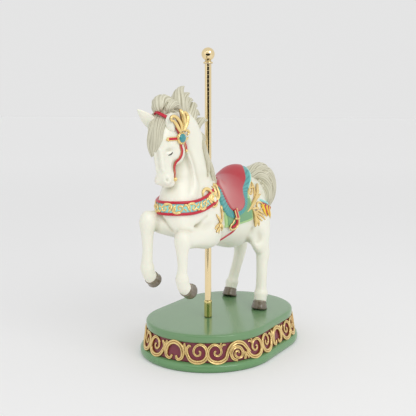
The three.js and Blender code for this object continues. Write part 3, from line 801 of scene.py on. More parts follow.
def addLock(parcel, rows, seed, ribs):
    rng = np.random.default_rng(seed)
    ribs = ribs or int(rng.integers(11, 17))
    phase = rng.uniform(0, 6.28, 3)
    sides = hair["sides"]

    def shape(angle, count):
        along = np.linspace(0, 1, count)[:, None]
        twist = angle[None] + 0.7 * along + 0.35 * np.sin(4.5 * along + phase[0])
        deep = 0.75 + 0.35 * np.sin(3 * twist + 9 * along + phase[2])
        fine, broad = np.cos(ribs * twist + phase[1]), np.cos((ribs // 2 + 1) * twist + phase[2])
        comb = deep * (fine + 0.6 * broad)
        return 1 + hair["groove"] * comb

    verts, faces = loft(rows, sides, 7, shape=shape, tip=0.5)
    count = len(verts) // sides - 2
    size = shape(middleTurns(sides), count)
    # How deep each point lies in the comb, painted as shade in the grooves.
    hollow = np.clip((1.03 - size) / (2.2 * hair["groove"]), 0, 1)
    hollow = np.concatenate([hollow[:1], hollow, hollow[-1:]])
    parcel.add(verts, faces, (hollow * 0.72 + 0.08).ravel())


for part in ("mane", "forelock", "tail"):
    locks = Parcel()
    for n, rows in enumerate(hair[part]):
        addLock(locks, rows, n + hair["firstSeed"], hair["ribs"].get(part))
    locks.make(part + "Locks", "hair")
print("hair laid")

# Ears: cupped leaves of resin. The left one is folded back.
ear = {
    "right": [(116, -9.5, 257, 5.5, 3.6), (121.5, -12.5, 263.5, 7.6, 3.0), (128.5, -16, 270, 6.4, 2.6),
              (134, -19, 275.5, 3.4, 1.8), (137.5, -21, 278.6, 0.8, 0.8)],
    "rightCup": 1.57,
    "left": [(118.5, 8.6, 256.5, 3.4, 3.0), (122.5, 9.2, 261, 5.0, 4.0), (124, 9.6, 267, 5.0, 4.0),
             (122.8, 9.2, 271.8, 3.4, 2.8), (120.6, 8.8, 275, 0.9, 0.9)],
    "leftCup": 2.5,
    "sides": 40,
}
ears = Parcel()
for part in ("right", "left"):
    def cup(angle, count, middle=ear[part + "Cup"]):
        return np.tile(1 - 0.5 * np.exp(-((angle - middle) / 0.55) ** 2), (count, 1))

    verts, faces = loft(ear[part], ear["sides"], 8, across=(-0.5, 0.86, 0), shape=cup, tip=0.3)
    shade = (1 - cup(middleTurns(ear["sides"]), len(verts) // ear["sides"])) * 2.4
    ears.add(verts, faces, shade.ravel())
ears.make("ears", "ivory")


# Cloths and saddle: each is drawn as rows of angle from the spine, front edge, back edge. extra,
# pleat and tone take the x, the angle and the share across of each point.
def drape(name, paint, rows, rise, rim, columns=60, steps=8, extra=None, pleat=None, tone=None,
          mirror=True):
    rows = smoothRows(rows, steps)
    if mirror:
        rows = np.concatenate([rows[1:][::-1] * (-1, 1, 1), rows])
    angles, front, back = rows.T[..., None]
    across = np.linspace(0, 1, columns)[None]
    points, normals = gather([[barrelSpot(f + (b - f) * t, a) for t in across[0]] for a, f, b in rows])
    normals = unit(normals)
    for _ in range(3):
        points[1:-1] = (points[:-2] + 2 * points[1:-1] + points[2:]) / 4
    for _ in range(6):
        normals[1:-1, 1:-1] = unit(normals[:-2, 1:-1] + normals[2:, 1:-1] + normals[1:-1, :-2]
                                   + normals[1:-1, 2:] + normals[1:-1, 1:-1])
    inward = np.minimum(across, 1 - across) * np.abs(back - front)
    line = np.cumsum(np.r_[0, np.linalg.norm(np.diff(points[:, columns // 2], axis=0), axis=1)])
    ends = np.minimum(line, line[-1] - line) if mirror else line[-1] - line
    edge = np.clip(np.minimum(inward, ends[:, None]) / rim, 0, 1)
    lift = rise * np.sqrt(1 - (1 - edge) ** 2)
    lift[edge <= 0] = -1.0
    xs = front + (back - front) * across
    wash = np.zeros_like(lift)
    if extra is not None:
        lift = lift + extra(xs, angles, across) * edge
    # A pleat is cut in, and the same amount darkens it as painted shade in its groove; a tone, where given,
    # sets the colour instead.
    if pleat is not None:
        wash = pleat(xs, angles, across)
        lift = lift - wash * 0.7 * edge
    if tone is not None:
        wash = tone(xs, angles, across)
    points = points + normals * lift[..., None]
    makePiece(name, points.reshape(-1, 3), gridFaces(*points.shape[:2]), paint, wash.ravel())


saddle = {
    "blanketRows": [(0, 8, -24), (34, 30, -22), (50, 46, -13.5), (62, 50, -14.5), (72, 51.5, -15.5),
                    (84, 50.5, -15.5), (100, 46, -16.5), (111, 43, -17.5), (114, 42.4, 6),
                    (117, 42, 34), (117.6, 41.8, 38)],
    "blanketInner": [(66, 45, -11.5), (84, 45.5, -12), (100, 41.5, -13), (107, 40, -13.5),
                     (110, 39.4, 8), (112.6, 38.8, 32), (113, 38.6, 35)],
    "underlayRows": [(0, 6, -50), (7, 13, -46.5), (13, 22, -40.5), (19, 30, -37.5), (27, 43, -32.5),
                     (34, 50.5, -28), (41, 54.4, -21.8), (51.5, 57, -13), (64, 56.5, -7.4), (72, 55.2, -5),
                     (79, 52, -2.4), (86, 48, 1), (91.5, 43, 6.5), (96, 37, 16.3), (99, 31, 27),
                     (99.4, 30, 29)],
    "seatRows": [(0, 12, -44), (6, 20, -41), (12, 25, -34.8), (18, 32, -30.2), (23, 41.5, -27),
                 (28.5, 48.5, -23.6), (34, 52.2, -17.6), (42, 50.4, -8), (48, 49.4, -3.6), (57.5, 47, 0.6),
                 (68, 43.4, 2.3), (78, 37, 6.2), (84.5, 29, 13.5), (86, 25, 20)],
    "underRise": 3.0,
    "seatRise": 4.0,
    "cantle": 7.2,
    "dip": 2.2,            # of the seat in front of the cantle
    "underEnd": -58, "seatEnd": -52, "hemEnd": -59,  # where the cantle's rise runs out
    "rimRows": [(0, -49.5), (8, -45.5), (13, -40.2), (19, -37.5), (27, -32.4), (34, -28), (41, -22),
                (47, -16.8)],
    "flapAngle": 36,       # the flap hangs below this
    "pipingShare": 0.86,   # of the flap's edge, from its front
}


# The cantle's rise and the seat's dip, over the part of the saddle in front of x = end.
def cantleShape(xs, angles, end):
    back = np.clip((-12 - xs) / 24, 0, 1)
    rim = np.clip((xs - end) / 12, 0, 1)
    dome = np.clip(1 - (np.abs(angles) / 46) ** 2, 0, 1)
    rise = saddle["cantle"] * np.sin(back * np.pi / 2) ** 1.6 * np.sqrt(rim)
    return (rise - saddle["dip"] * np.exp(-((xs + 9) / 13) ** 2)) * dome


# The underlay's feather grooves; drape cuts them in and paints shade into them.
def featherPleats(xs, angles, _):
    turn = np.arctan2((np.abs(angles) - 48) * 0.56, xs - 18)
    return 0.5 * np.clip(np.sin(turn * 66 + 2 * np.sin(turn * 9)), 0, 1) ** 1.3


def saddleTone(xs, angles, across):  # paler towards the pommel and the flaps: partly airbrushed paint, partly painted highlight
    front = np.clip((xs + 6) / 50, 0, 1) ** 1.6 * np.clip(1.25 - np.abs(angles) / 70, 0.25, 1)
    low = np.clip((np.abs(angles) - 36) / 42, 0, 1)
    inside = np.clip(np.minimum(across, 1 - across) / 0.07, 0, 1)
    return (0.04 + 0.7 * front + 0.2 * low) * inside


drape("blanketEdge", "blanketEdge", saddle["blanketRows"], 1.5, 1.4)
for side, name in ((1, "blanketLeft"), (-1, "blanketRight")):
    rows = np.array(saddle["blanketInner"], dtype=float) * (side, 1, 1)
    drape(name, "blanket", rows, 2.2, 0.8, mirror=False)
drape("underlay", "turquoise", saddle["underlayRows"], saddle["underRise"], 2.2, columns=150, steps=16,
      pleat=featherPleats, extra=lambda xs, angles, _: cantleShape(xs, angles, saddle["underEnd"]))
drape("saddleSeat", "saddle", saddle["seatRows"], saddle["seatRise"], 3.4, steps=12, tone=saddleTone,
      extra=lambda xs, angles, _: cantleShape(xs, angles, saddle["seatEnd"]))

# A pale rolled hem behind the cantle, and dark piping down the front of each flap.
hem, piping = Parcel(), Parcel()
rows = smoothRows([(-a, x) for a, x in saddle["rimRows"][:0:-1]] + saddle["rimRows"], 6)
points, normals = gather([barrelSpot(x, a) for a, x in rows])
normals = unit(normals)
lift = saddle["underRise"] * 0.6 + 0.8 * cantleShape(rows[:, 1], rows[:, 0], saddle["hemEnd"])
ridge(hem, points + normals * lift[:, None], normals,
      1.5 - 0.9 * (np.abs(rows[:, 0]) / saddle["rimRows"][-1][0]) ** 2, 1.0, 10, wash=0.2)
hem.make("underlayHem", "paleTurquoise")
flap = smoothRows(saddle["seatRows"], 6)
flap = flap[flap[:, 0] > saddle["flapAngle"]]
edge = np.concatenate([flap[:, :2], flap[::-1][:, [0, 2]]])
edge = edge[: int(len(edge) * saddle["pipingShare"])]
for side in (1, -1):
    points, normals = gather([barrelSpot(x, a * side) for a, x in edge])
    normals = unit(normals)
    ridge(piping, points + normals * 2.4, normals,
          0.75 * np.sin(np.linspace(0.35, 2.8, len(edge))) ** 0.5, 1.0, 10, wash=0.4)
piping.make("flapPiping", "red")
print("saddle and cloths laid")


# Breast collar: a painted field between two red pipings, with running gold scrolls.
collar = {
    "centreX": 78,
    "height": 177.2,       # of its middle line at the front
    "sideRise": 10,
    "reach": 116,          # degrees round from the front
    "field": 4.9,
    "piping": 5.9,
    "pipingHalf": 1.55,
    "cells": 9,
    "cellScale": 1.22,
    "lineSwell": 1.25,     # of the scrolls' lines beside their places
}


def collarHit(turn, height):
    out = np.array([math.cos(turn), math.sin(turn), 0])
    return hitBody(np.array([collar["centreX"], 0, height]) + out * rays["flank"], -out, torsoTree)


def collarTrack():
    turns = np.linspace(-135, 135, 271)
    heights = collar["height"] + collar["sideRise"] * (np.maximum(np.abs(turns) - 35, 0) / 84) ** 1.6
    spots = np.array([collarHit(turn, height)[0] for turn, height in zip(np.radians(turns), heights)])
    length = np.cumsum(np.r_[0, np.linalg.norm(np.diff(spots, axis=0), axis=1)])
    return turns, heights, length - length[len(turns) // 2]


collarTurns, collarHeights, collarLengths = collarTrack()


def collarSpot(u, v):
    turn = math.radians(np.interp(u, collarLengths, collarTurns))
    return collarHit(turn, np.interp(u, collarLengths, collarHeights) + v)


collarEnd = np.interp(collar["reach"], collarTurns, collarLengths)
fieldParcel, pipingParcel, goldParcel = Parcel(), Parcel(), Parcel()
us = np.linspace(-collarEnd, collarEnd, 150)
points, normals = gather([collarSpot(u, 0) for u in us])
for _ in range(6):
    normals[1:-1] = unit(normals[:-2] + normals[1:-1] + normals[2:])
h = collar["field"] + 0.6
sweep(points, normals, np.tile([(-h, -3), (-h, 0.9), (-h * 0.5, 1.5), (0, 1.7), (h * 0.5, 1.5),
                                (h, 0.9), (h, -3)], (len(us), 1, 1)), fieldParcel)
fieldParcel.make("collarField", "paleTurquoise")
for sign in (-1, 1):
    row = np.array([collarSpot(u, sign * collar["piping"])[0] for u in us])
    ridge(pipingParcel, row + normals * 0.7, normals, np.full(len(us), collar["pipingHalf"]), 1.0, 12,
          wash=0.3)
pipingParcel.make("collarPipings", "red")

# One cell of the collar's ornament, drawn flat: a spiral, the stem it grows from, leaves and a bud.
cellRows = [
    spiralRows((0, 0.2), 3.2, 0.5, -130, 1.35, 0.85),
    [(-6.5, -1.2, 0.4), (-4.6, -3.2, 0.8), (-2, -3.6, 0.95), (0.5, -3.4, 0.8)],
    [(-5.6, -2.8, 0.35), (-5.4, -0.4, 0.8), (-4.2, 1.6, 0.75), (-3.4, 3.2, 0.3)],
    [(-4.4, -3.0, 0.3), (-4.0, -1.2, 0.6), (-3.4, 0.4, 0.35)],
    [(3.0, 1.2, 0.4), (4.4, 2.6, 0.8), (6.2, 2.2, 0.7), (7.0, 0.6, 0.3)],
    [(3.2, -0.6, 0.3), (4.6, -1.2, 0.65), (5.6, -2.8, 0.3)],
]


pitch = 2 * collarEnd / collar["cells"]
scale = collar["cellScale"]
for k in range(collar["cells"]):
    u = -collarEnd + (k + 0.5) * pitch
    flip, turn = 1 if k % 2 else -1, 1 if u > 0 else -1
    for row in cellRows:
        row = np.asarray(row) * (turn * scale, flip * scale, scale * collar["lineSwell"]) + (u, 0, 0)
        lay(goldParcel, collarSpot, row, 1.0, 5 if len(row) < 12 else 1, lift=1.3)
goldParcel.make("collarScrolls", "gold")
print("breast collar laid")

# Gold ornaments drawn flat on the flanks: x, z, half width.
ornament = {
    "collarEnd": [
        [(85, 187, 0.5), (84, 191.5, 1.3), (79, 194.5, 1.9), (73.5, 193, 2.0), (71.5, 188.5, 1.7),
         (74, 185, 1.2), (77.5, 186.5, 0.9), (77, 189.2, 0.7)],
        [(70, 190.5, 0.8), (65.5, 188.5, 1.5), (63.5, 183.5, 1.6), (65.5, 178, 1.5), (70, 175.5, 1.3),
         (74.5, 177, 1.0)],
        [(70, 190, 0.7), (73.6, 187.5, 1.2), (75, 183.0, 1.3), (73.5, 179, 1.0)],
        [(64, 186, 0.8), (61.5, 190, 1.3), (62, 194, 1.0), (64.5, 196.5, 0.5)],
        [(61, 181, 0.6), (58, 184, 1.3), (55.5, 188, 1.5), (55, 193, 1.3), (57, 197.5, 1.0),
         (59.5, 196.5, 0.6)],
        [(59.5, 186, 0.5), (62.5, 190.5, 1.0), (61, 195.5, 0.7), (57.5, 199.5, 0.4)],
        [(57.5, 185.5, 0.6), (53.5, 186.5, 1.2), (51.5, 190.5, 1.2), (51.5, 195.5, 0.8), (53.5, 199, 0.4)],
    ],
    "front": [
        [(51.5, 168.2, 0.8), (48.3, 168.6, 1.1), (46.9, 171.4, 1.2), (49, 174.4, 1.3), (53, 174.8, 1.5),
         (56, 172.8, 1.8), (56.2, 167, 1.9), (54.4, 161, 1.7), (56.6, 156.6, 1.7), (59, 152.4, 1.6),
         (60.6, 148.6, 1.2), (61, 145, 0.5)],
        [(67.4, 166.8, 0.5), (65.2, 164, 1.1), (61.8, 161, 1.3), (58, 156.4, 1.2)],
        [(58.5, 157.5, 0.8), (63, 155, 1.4), (67.6, 153.4, 1.6), (70.6, 151.2, 1.0)],
        [(60, 152, 0.8), (64.6, 150.4, 1.3), (68.6, 147.6, 0.8)],
        [(57, 156, 0.8), (54.6, 152.4, 1.4), (52.6, 149, 1.0), (52.6, 146.6, 0.4)],
    ],
    "overBlanket": [
        [(-1, 161.4, 0.5), (-9, 165, 1.8), (-18, 169.4, 2.5), (-27, 174.4, 2.6), (-34, 178.6, 2.2),
         (-42, 183.8, 2.0), (-49.5, 187.6, 1.5), (-53, 188.6, 0.5)],
        [(-15, 163, 0.8), (-18.6, 158.4, 1.8), (-22, 152.6, 2.3), (-24.6, 146.6, 2.3), (-24.4, 141.6, 1.0)],
        [(-11, 163.4, 0.6), (-17, 163.6, 1.3), (-23, 163.2, 1.4), (-29.4, 161.4, 0.6)],
    ],
    "rear": [
        [(-25, 173.5, 0.9), (-30, 179, 1.8), (-34.5, 184.6, 1.7), (-40.5, 188.6, 0.6)],
        [(-31, 176.6, 0.9), (-38, 178.2, 1.8), (-45, 181, 1.7), (-50.5, 182.4, 0.6)],
        [(-29, 174.8, 0.9), (-36, 174.2, 1.8), (-44, 176.4, 1.7), (-50, 176.6, 0.6)],
        [(-12, 179, 0.6), (-16.7, 183, 1.8), (-23.4, 187.8, 1.9), (-29, 190, 1.2)],
        [(-20, 185.5, 0.7), (-26, 188.6, 1.8), (-33, 192.3, 1.9), (-40, 194.4, 1.6), (-46.2, 197, 0.6)],
        [(-16, 181.8, 0.6), (-20.4, 180.2, 1.6), (-25.4, 182.8, 1.4), (-28, 185.6, 0.6)],
        [(-25, 187, 0.6), (-31, 186.8, 1.5), (-36.4, 190, 1.2), (-38.4, 193, 0.5)],
        [(-34, 162.2, 0.7), (-30, 163, 1.1), (-29.2, 166, 1.25), (-33, 168.4, 1.25), (-39.6, 168.2, 1.2),
         (-43, 165.2, 1.1), (-41, 161.6, 1.0), (-35.8, 159.8, 0.8)],
        [(-21, 156.6, 0.8), (-26.4, 151, 1.8), (-29.6, 146, 1.7), (-29.4, 141.4, 0.7)],
        [(-17, 160.6, 0.8), (-24, 158.4, 1.6), (-31, 155.8, 1.6), (-37.6, 151.6, 1.5), (-42, 147.4, 0.6)],
        [(-24, 158.4, 0.7), (-31, 159.4, 1.2), (-37, 156.4, 1.3), (-44, 152.6, 0.6)],
        [(-26, 156.4, 0.7), (-31, 150.6, 1.3), (-35.6, 146.6, 0.6)],
    ],
}
gilding = {"broad": 1.55, "broadWidth": 0.86, "broadShade": 0.32, "overCloth": 1.9,
           "medallion": (69.4, 182.8)}
flankGold, gems, gemRims = Parcel(), Parcel(), Parcel()
for side in (1, -1):
    place = flank(side)
    for group, rows in ornament.items():
        over = group == "overBlanket"
        for row in rows:
            broad = max(width for _, _, width in row) > gilding["broad"] and group != "collarEnd"
            if broad:
                doubleRidge(flankGold, place, np.array(row) * (1, 1, gilding["broadWidth"]), 0.95,
                            gilding["overCloth"] if over else 0.4, gilding["broadShade"])
            else:
                lay(flankGold, place, row, 1.15, 6, lift=gilding["overCloth"] if over else 0.3,
                    sides=10, wash=0.5)
    spot, normal = place(*gilding["medallion"])
    bead(gemRims, spot + normal * 2.2, normal, 3.6, 0.35, 20)
    bead(gems, spot + normal * 2.9, normal, 2.5, 0.4, 18)
flankGold.make("flankOrnaments", "gold")
gemRims.make("medallionRims", "gold")
gems.make("medallions", "ivory")
print("gold ornaments laid")

# Girth, stirrup leathers and stirrups.
tack = {
    "girth": [(19, 30.5, 148), (19.5, 27, 142), (29, 22, 137), (36, 12, 133), (38, 0, 132),
              (36, -12, 133), (29, -22, 137), (19.5, -27, 142), (19, -30.5, 148)],
    "girthWidth": 2.8,
    "leather": [(30, 31, 168), (27.5, 31, 163), (25, 31, 158)],
    "leatherWidth": 4.6,
    "stirrup": [(22, 158.5, 1.0), (19.4, 154.5, 1.0), (19.8, 149.8, 1.1), (23.6, 146.6, 1.2),
                (30, 146.0, 1.3), (34.4, 148.2, 1.2), (34, 151.2, 1.0), (30.4, 153.8, 0.9), (28, 157.5, 0.8)],
    "tread": [(24.2, 157.8, 1.5), (23, 153, 1.7), (25.4, 149.8, 1.7), (31, 148.8, 1.4)],
    "loop": [(29.6, 158.0, 1.1), (25.4, 157.6, 1.3), (20.6, 157.6, 1.1)],
}
straps, edges = Parcel(), Parcel()
strap(straps, edges, tack["girth"], tack["girthWidth"], 0.9, 0)
for side in (1, -1):
    path = np.array(tack["leather"], dtype=float) * (1, side, 1)
    strap(straps, edges, path, tack["leatherWidth"], 1.4, 0.8, lift=4.0)
    place = flank(side)
    lay(edges, place, tack["stirrup"], 1.1, 8, lift=2.4, sides=12)
    lay(straps, place, tack["tread"], 0.8, 8, lift=2.4, sides=12, wash=0.3)
    lay(edges, place, tack["loop"], 1.1, 4, lift=3.4)


# Bridle: straps run over the poll, down the cheek and round the brow, with rosettes at the ears.
bridle = {
    "crown": [(111.5, 15, 251.5), (115.5, 15, 256), (118.8, 13.6, 261.5), (122, 10.6, 267),
              (124.6, 6, 271), (125.4, 0, 273.8), (124, -6, 276), (121.6, -10, 275.6),
              (118.6, -13.4, 269), (115.5, -14.6, 260), (111.5, -15, 251.5)],
    "crownMiddle": (106, 0, 262),
    "brow": [(109, 13.3, 249.8), (118.5, 13.0, 249.3), (124.2, 11.3, 249.2), (128.2, 9.0, 248.8)],
    "cheek": [(109, 13.6, 247), (111.7, 13.5, 242), (109.5, 12.4, 236.5), (111, 11.6, 231),
              (113.8, 9.9, 225), (113.8, 9.0, 218), (111.5, 8.6, 213), (112, 8.2, 209)],
    "tab": [(105, 13, 247.5), (98, 11, 245), (94, 9.5, 241.5), (92, 8.5, 237)],
    "tabTwo": [(106, 13, 246), (101.5, 12, 241.5), (98, 11, 236.5)],
    "straps": {            # width, thickness, edge, lift
        "brow": (3.1, 1.0, 0.5, 0.2), "cheek": (3.4, 1.2, 0.3, 0.3), "tab": (2.6, 1.0, 0.0, 0.8),
        "tabTwo": (2.0, 0.8, 0.4, 0.5)},
    "studs": [             # place, how far out, radius, flatness, sides
        ((128.2, 9.0, 248.8), 0.6, 1.9, 0.8, 4), ((112, 8, 207.5), 1.2, 2.3, 0.9, 14),
        ((91.6, 8.4, 236), 1.0, 1.7, 0.9, 14)],
    "crownWidth": 3.1,
}
for side in (1, -1):
    flip = np.array([1, side, 1.0])
    for part, (width, thick, edge, lift) in bridle["straps"].items():
        strap(straps, edges, np.array(bridle[part]) * flip, width, thick, edge, lift)
    for spot, out, *form in bridle["studs"]:
        spot, normal = nearBody(np.array(spot) * flip)
        bead(edges, spot + normal * out, normal, *form)
strap(straps, edges, bridle["crown"], bridle["crownWidth"], 1.0, 0, middle=bridle["crownMiddle"])
straps.make("leathers", "red")
edges.make("buckles", "gold")

# Closed eyes: a dark line under each lid.
eyeLine = [(127.4, 9.6, 232.6), (125.8, 10.8, 233.4), (124.2, 11.8, 234.6), (122.8, 12.4, 236.0)]
eyeLines = Parcel()
for side in (1, -1):
    points, normals = gather([nearBody(p * (1, side, 1)) for p in smoothRows(eyeLine, 6)])
    taper = 0.55 * np.sin(np.pi * np.linspace(0.12, 0.9, len(points))) + 0.1
    ridge(eyeLines, points, normals, taper, 0.9, 8, wash=0)
eyeLines.make("eyeLines", "dark")


# Rosettes with a turquoise stone, and a plume of gilded leaves above each.
plume = {
    "place": (112, 15.5, 249.8),
    "studs": 14,
    "studRing": 5.9,
    "bow": 15.4,           # how far out the leaves stand at their middle, which is at:
    "middle": (104, 262),
    "leaves": [
        [(105.5, 257, 1.7), (103, 264, 2.6), (104.5, 271, 2.8), (106, 276, 2.2), (107, 279, 0.9)],
        [(102.5, 257, 1.5), (98, 263, 2.2), (96, 268.5, 2.5), (95.5, 272.5, 2.3), (98.5, 275.5, 1.7),
         (101.5, 275.5, 0.9)],
        [(100, 270, 0.8), (98, 266.5, 1.6), (99.5, 262, 1.5), (103, 257.5, 0.8)],
        [(98.5, 256.2, 0.7), (94.5, 257.4, 1.2), (91, 255.2, 1.3), (93.6, 252.6, 0.7)],
        [(97.5, 248.4, 0.6), (94, 248.6, 1.0), (91.4, 250.4, 0.5)]],
    "nearLeaves": [        # the far side's would stand through the raised ear
        [(106.5, 257, 1.3), (108, 263, 1.9), (111.5, 267.5, 2), (116, 271, 1.8), (120.5, 272, 1.6),
         (123.5, 270, 1.4), (122, 267.5, 1.2), (118.5, 268, 0.8)],
        [(108, 255.5, 1.2), (113, 260.5, 1.8), (116.5, 264.5, 1.8), (119.8, 267.5, 1.0)]],
}
plumes, stones, rims = Parcel(), Parcel(), Parcel()
for side in (1, -1):
    def plumeSpot(x, z, side=side):
        bow = plume["bow"] - 0.004 * (x - plume["middle"][0]) ** 2 - 0.004 * (z - plume["middle"][1]) ** 2
        return np.array([x + 6, side * bow, z]), np.array([0.25, side, 0.0])

    for row in plume["leaves"] + (plume["nearLeaves"] if side > 0 else []):
        lay(plumes, plumeSpot, row, 1.1, 7, sides=12, wash=1.1)
    spot, normal = np.array(plume["place"]) * (1, side, 1), np.array([0.18, side, 0.0])
    bead(rims, spot, normal, 6.2, 0.36, 28)
    bead(stones, spot + normal * 1.7, normal, 4.7, 0.46, 24)
    for k in range(plume["studs"]):
        turn = 2 * math.pi * k / plume["studs"]
        aside = np.array([math.cos(turn), -0.18 * side * math.cos(turn), math.sin(turn)])
        bead(rims, spot + normal * 0.9 + aside * plume["studRing"], normal, 0.8, 0.9, 8)
plumes.make("plumes", "gold")
rims.make("rosetteRims", "gold")
stones.make("rosetteStones", "stone")
print("bridle laid")


# Rump cloth: a painted band round the quarters with flames hanging from it.
rump = {
    "centreX": -45, "height": 166.8, "frontAngle": 96, "rearAngle": 14,
    "fall": 8, "fallSpan": 51,  # it sinks this far in this many degrees from the front
    "flames": 5, "drop": 13.5,
    "flame": [(0, -1.5, 1.6), (-0.5, -4.5, 1.0)],  # aside, height, share of the width
    "flameTail": [(-2.0, 0.5, 0.82), (-5.0, 0.8, 0.45), (-8.0, 1, 0.1)],  # aside, share of the drop, width
}


def rumpSpot(turn, v):
    angle = math.radians(turn)
    out = np.array([-math.cos(angle), math.sin(angle), 0])
    rearward = min(max((rump["frontAngle"] - abs(turn)) / rump["fallSpan"], 0), 1)
    height = rump["height"] + v - rump["fall"] * rearward
    return hitBody(np.array([rump["centreX"], 0, height]) + out * rays["barrel"], -out)


# A band with rounded edges, from height low to high.
def rumpStripe(parcel, us, low, high, thick):
    vs = np.linspace(low, high, 9)
    points, normals = gather([[rumpSpot(u, v) for v in vs] for u in us])
    normals = unit(normals)
    for _ in range(4):
        normals[1:-1] = unit(normals[:-2] + normals[1:-1] + normals[2:])
    edge = np.clip(np.minimum(vs - low, high - vs) / 0.5, 0, 1)
    lift = np.tile(thick * np.sqrt(1 - (1 - edge) ** 2), (len(us), 1))
    lift[0] = lift[-1] = lift[:, 0] = lift[:, -1] = -1.5
    points = points + normals * lift[..., None]
    parcel.add(points.reshape(-1, 3), gridFaces(*points.shape[:2]))


bandTop, bandMid, flamesRed, flamesYellow = Parcel(), Parcel(), Parcel(), Parcel()
for side in (1, -1):
    turns = np.linspace(rump["frontAngle"], rump["rearAngle"], 60) * side
    rumpStripe(bandTop, turns, 1.8, 5.2, 1.8)
    rumpStripe(bandMid, turns, -2.6, 2.4, 1.3)
    pitch = (rump["frontAngle"] - rump["rearAngle"]) / rump["flames"]
    for k in range(rump["flames"]):
        u = rump["frontAngle"] - 2 - k * pitch
        drop = rump["drop"] * (0.88 if k % 2 else 1.0)
        for parcel, lag, width, fall, lift in ((flamesRed, 6.4, 3.3, drop * 0.86, 0.4),
                                               (flamesYellow, 0.0, 2.8, drop, 0.9)):
            rows = rump["flame"] + [(x, -2 - fall * share, w) for x, share, w in rump["flameTail"]]
            rows = [(side * (u + x - lag), v, width * w) for x, v, w in rows]
            lay(parcel, rumpSpot, rows, 0.5, 6, lift=lift, wash=0.2)
bandTop.make("rumpEdge", "paleTurquoise")
bandMid.make("rumpBand", "red")
flamesRed.make("rumpFlamesRed", "red")
flamesYellow.make("rumpFlamesYellow", "yellow")
print("rump cloth laid")


# The plinth: a glossy slab, a painted band with gilded scrolls in relief, and a moulded foot.
plinth = {
    "slabRadius": 72, "slabUnder": 33, "slabEdge": 2.6,
    "bandTop": 69.6, "bandFoot": 74.2, "footTop": 9.5, "footRadius": 79.2,
    "scrollStart": 462.5, "orderLength": 143.8, "sides": 360, "around": 72.0,
}
plinthLength = (plinthHigh.x - plinthLow.x) / mm
plinthWidth = (plinthHigh.y - plinthLow.y) / mm
halfStraight = (plinthLength - plinthWidth) / 2


# Position on the oval at a distance round it, and the outward direction there.
def ovalSpot(distance, radius, around):
    straight, arc = 2 * halfStraight, math.pi * around
    distance = distance % (2 * (straight + arc))
    half = 1 if distance < straight + arc else -1
    if half < 0:
        distance -= straight + arc
    if distance < straight:
        out = np.array([0, half, 0.0])
        return np.array([half * (halfStraight - distance), half * radius, 0]), out
    angle = math.pi / 2 + (distance - straight) / around
    out = np.array([math.cos(angle), math.sin(angle), 0]) * half
    return np.array([-half * halfStraight, 0, 0]) + out * radius, out


# A solid round the oval. A profile row: radius, height, painted shade.
def ovalSolid(name, profile, paint):
    around, sides = plinth["around"], plinth["sides"]
    total = 4 * halfStraight + 2 * math.pi * around
    verts, washes = [], []
    for radius, z, tone in profile:
        for k in range(sides):
            spot, _ = ovalSpot(k * total / sides, radius, around)
            verts.append((spot[0], spot[1], z))
            washes.append(tone)
    makePiece(name, verts, ringFaces(len(profile), sides), paint, washes, "plinth_paint", "plinth")


def roundEdge(radius, z, r, start, end, steps=6):
    return [(radius - r + r * math.cos(a), z - r + r * math.sin(a), 0.0)
            for a in np.radians(np.linspace(start, end, steps))]


r = plinth["slabEdge"]
slabRadius, under = plinth["slabRadius"], plinth["slabUnder"]
bandTopRadius, bandFoot = plinth["bandTop"], plinth["bandFoot"]
footTop, footRadius = plinth["footTop"], plinth["footRadius"]
# Painted shade under the slab's edge, where the band meets slab and foot, and along the floor.
ovalSolid("slab", [(40, under, 0), (slabRadius - 1.5, under, 0.6),
                   *roundEdge(slabRadius, under + r, r, -70, 0),
                   *roundEdge(slabRadius, plinthTop, r, 0, 90, 8),
                   (60, plinthTop, 0), (30, plinthTop, 0), (5, plinthTop, 0)], "sage")
ovalSolid("band", [(60, under + 1, 0), (bandTopRadius, under + 0.6, 0.8),
                   (bandTopRadius + 0.2, under - 2, 0.2), (bandFoot - 0.4, footTop + 3, 0.2),
                   (bandFoot, footTop, 0.9), (60, footTop - 2, 0)], "burgundy")
ovalSolid("foot", [(60, 10.2, 0.5), (bandFoot - 0.6, 10.2, 0.6), (bandFoot + 0.5, 9.9, 0.3),
                   *roundEdge(footRadius, 9.4, 4.4, 84, -6, 9),
                   (footRadius - 0.3, 2.6, 0.1), (footRadius - 1.0, 1.0, 0.3),
                   (footRadius - 2.2, 0, 0.6), (30, 0, 0)], "green")

bandMiddle = (bandTopRadius + bandFoot) / 2
bandLength = 4 * halfStraight + 2 * math.pi * bandMiddle


# Flat drawing on the painted band: along it, and height above its middle.
def bandSpot(u, v):
    z = (under + footTop) / 2 + v
    radius = bandFoot + (bandTopRadius - bandFoot) * ((z - footTop) / (under - footTop))
    spot, out = ovalSpot(u + 10 * bandLength, radius, bandMiddle)
    spot[2] = z
    return spot, unit(out + (0, 0, 0.2))


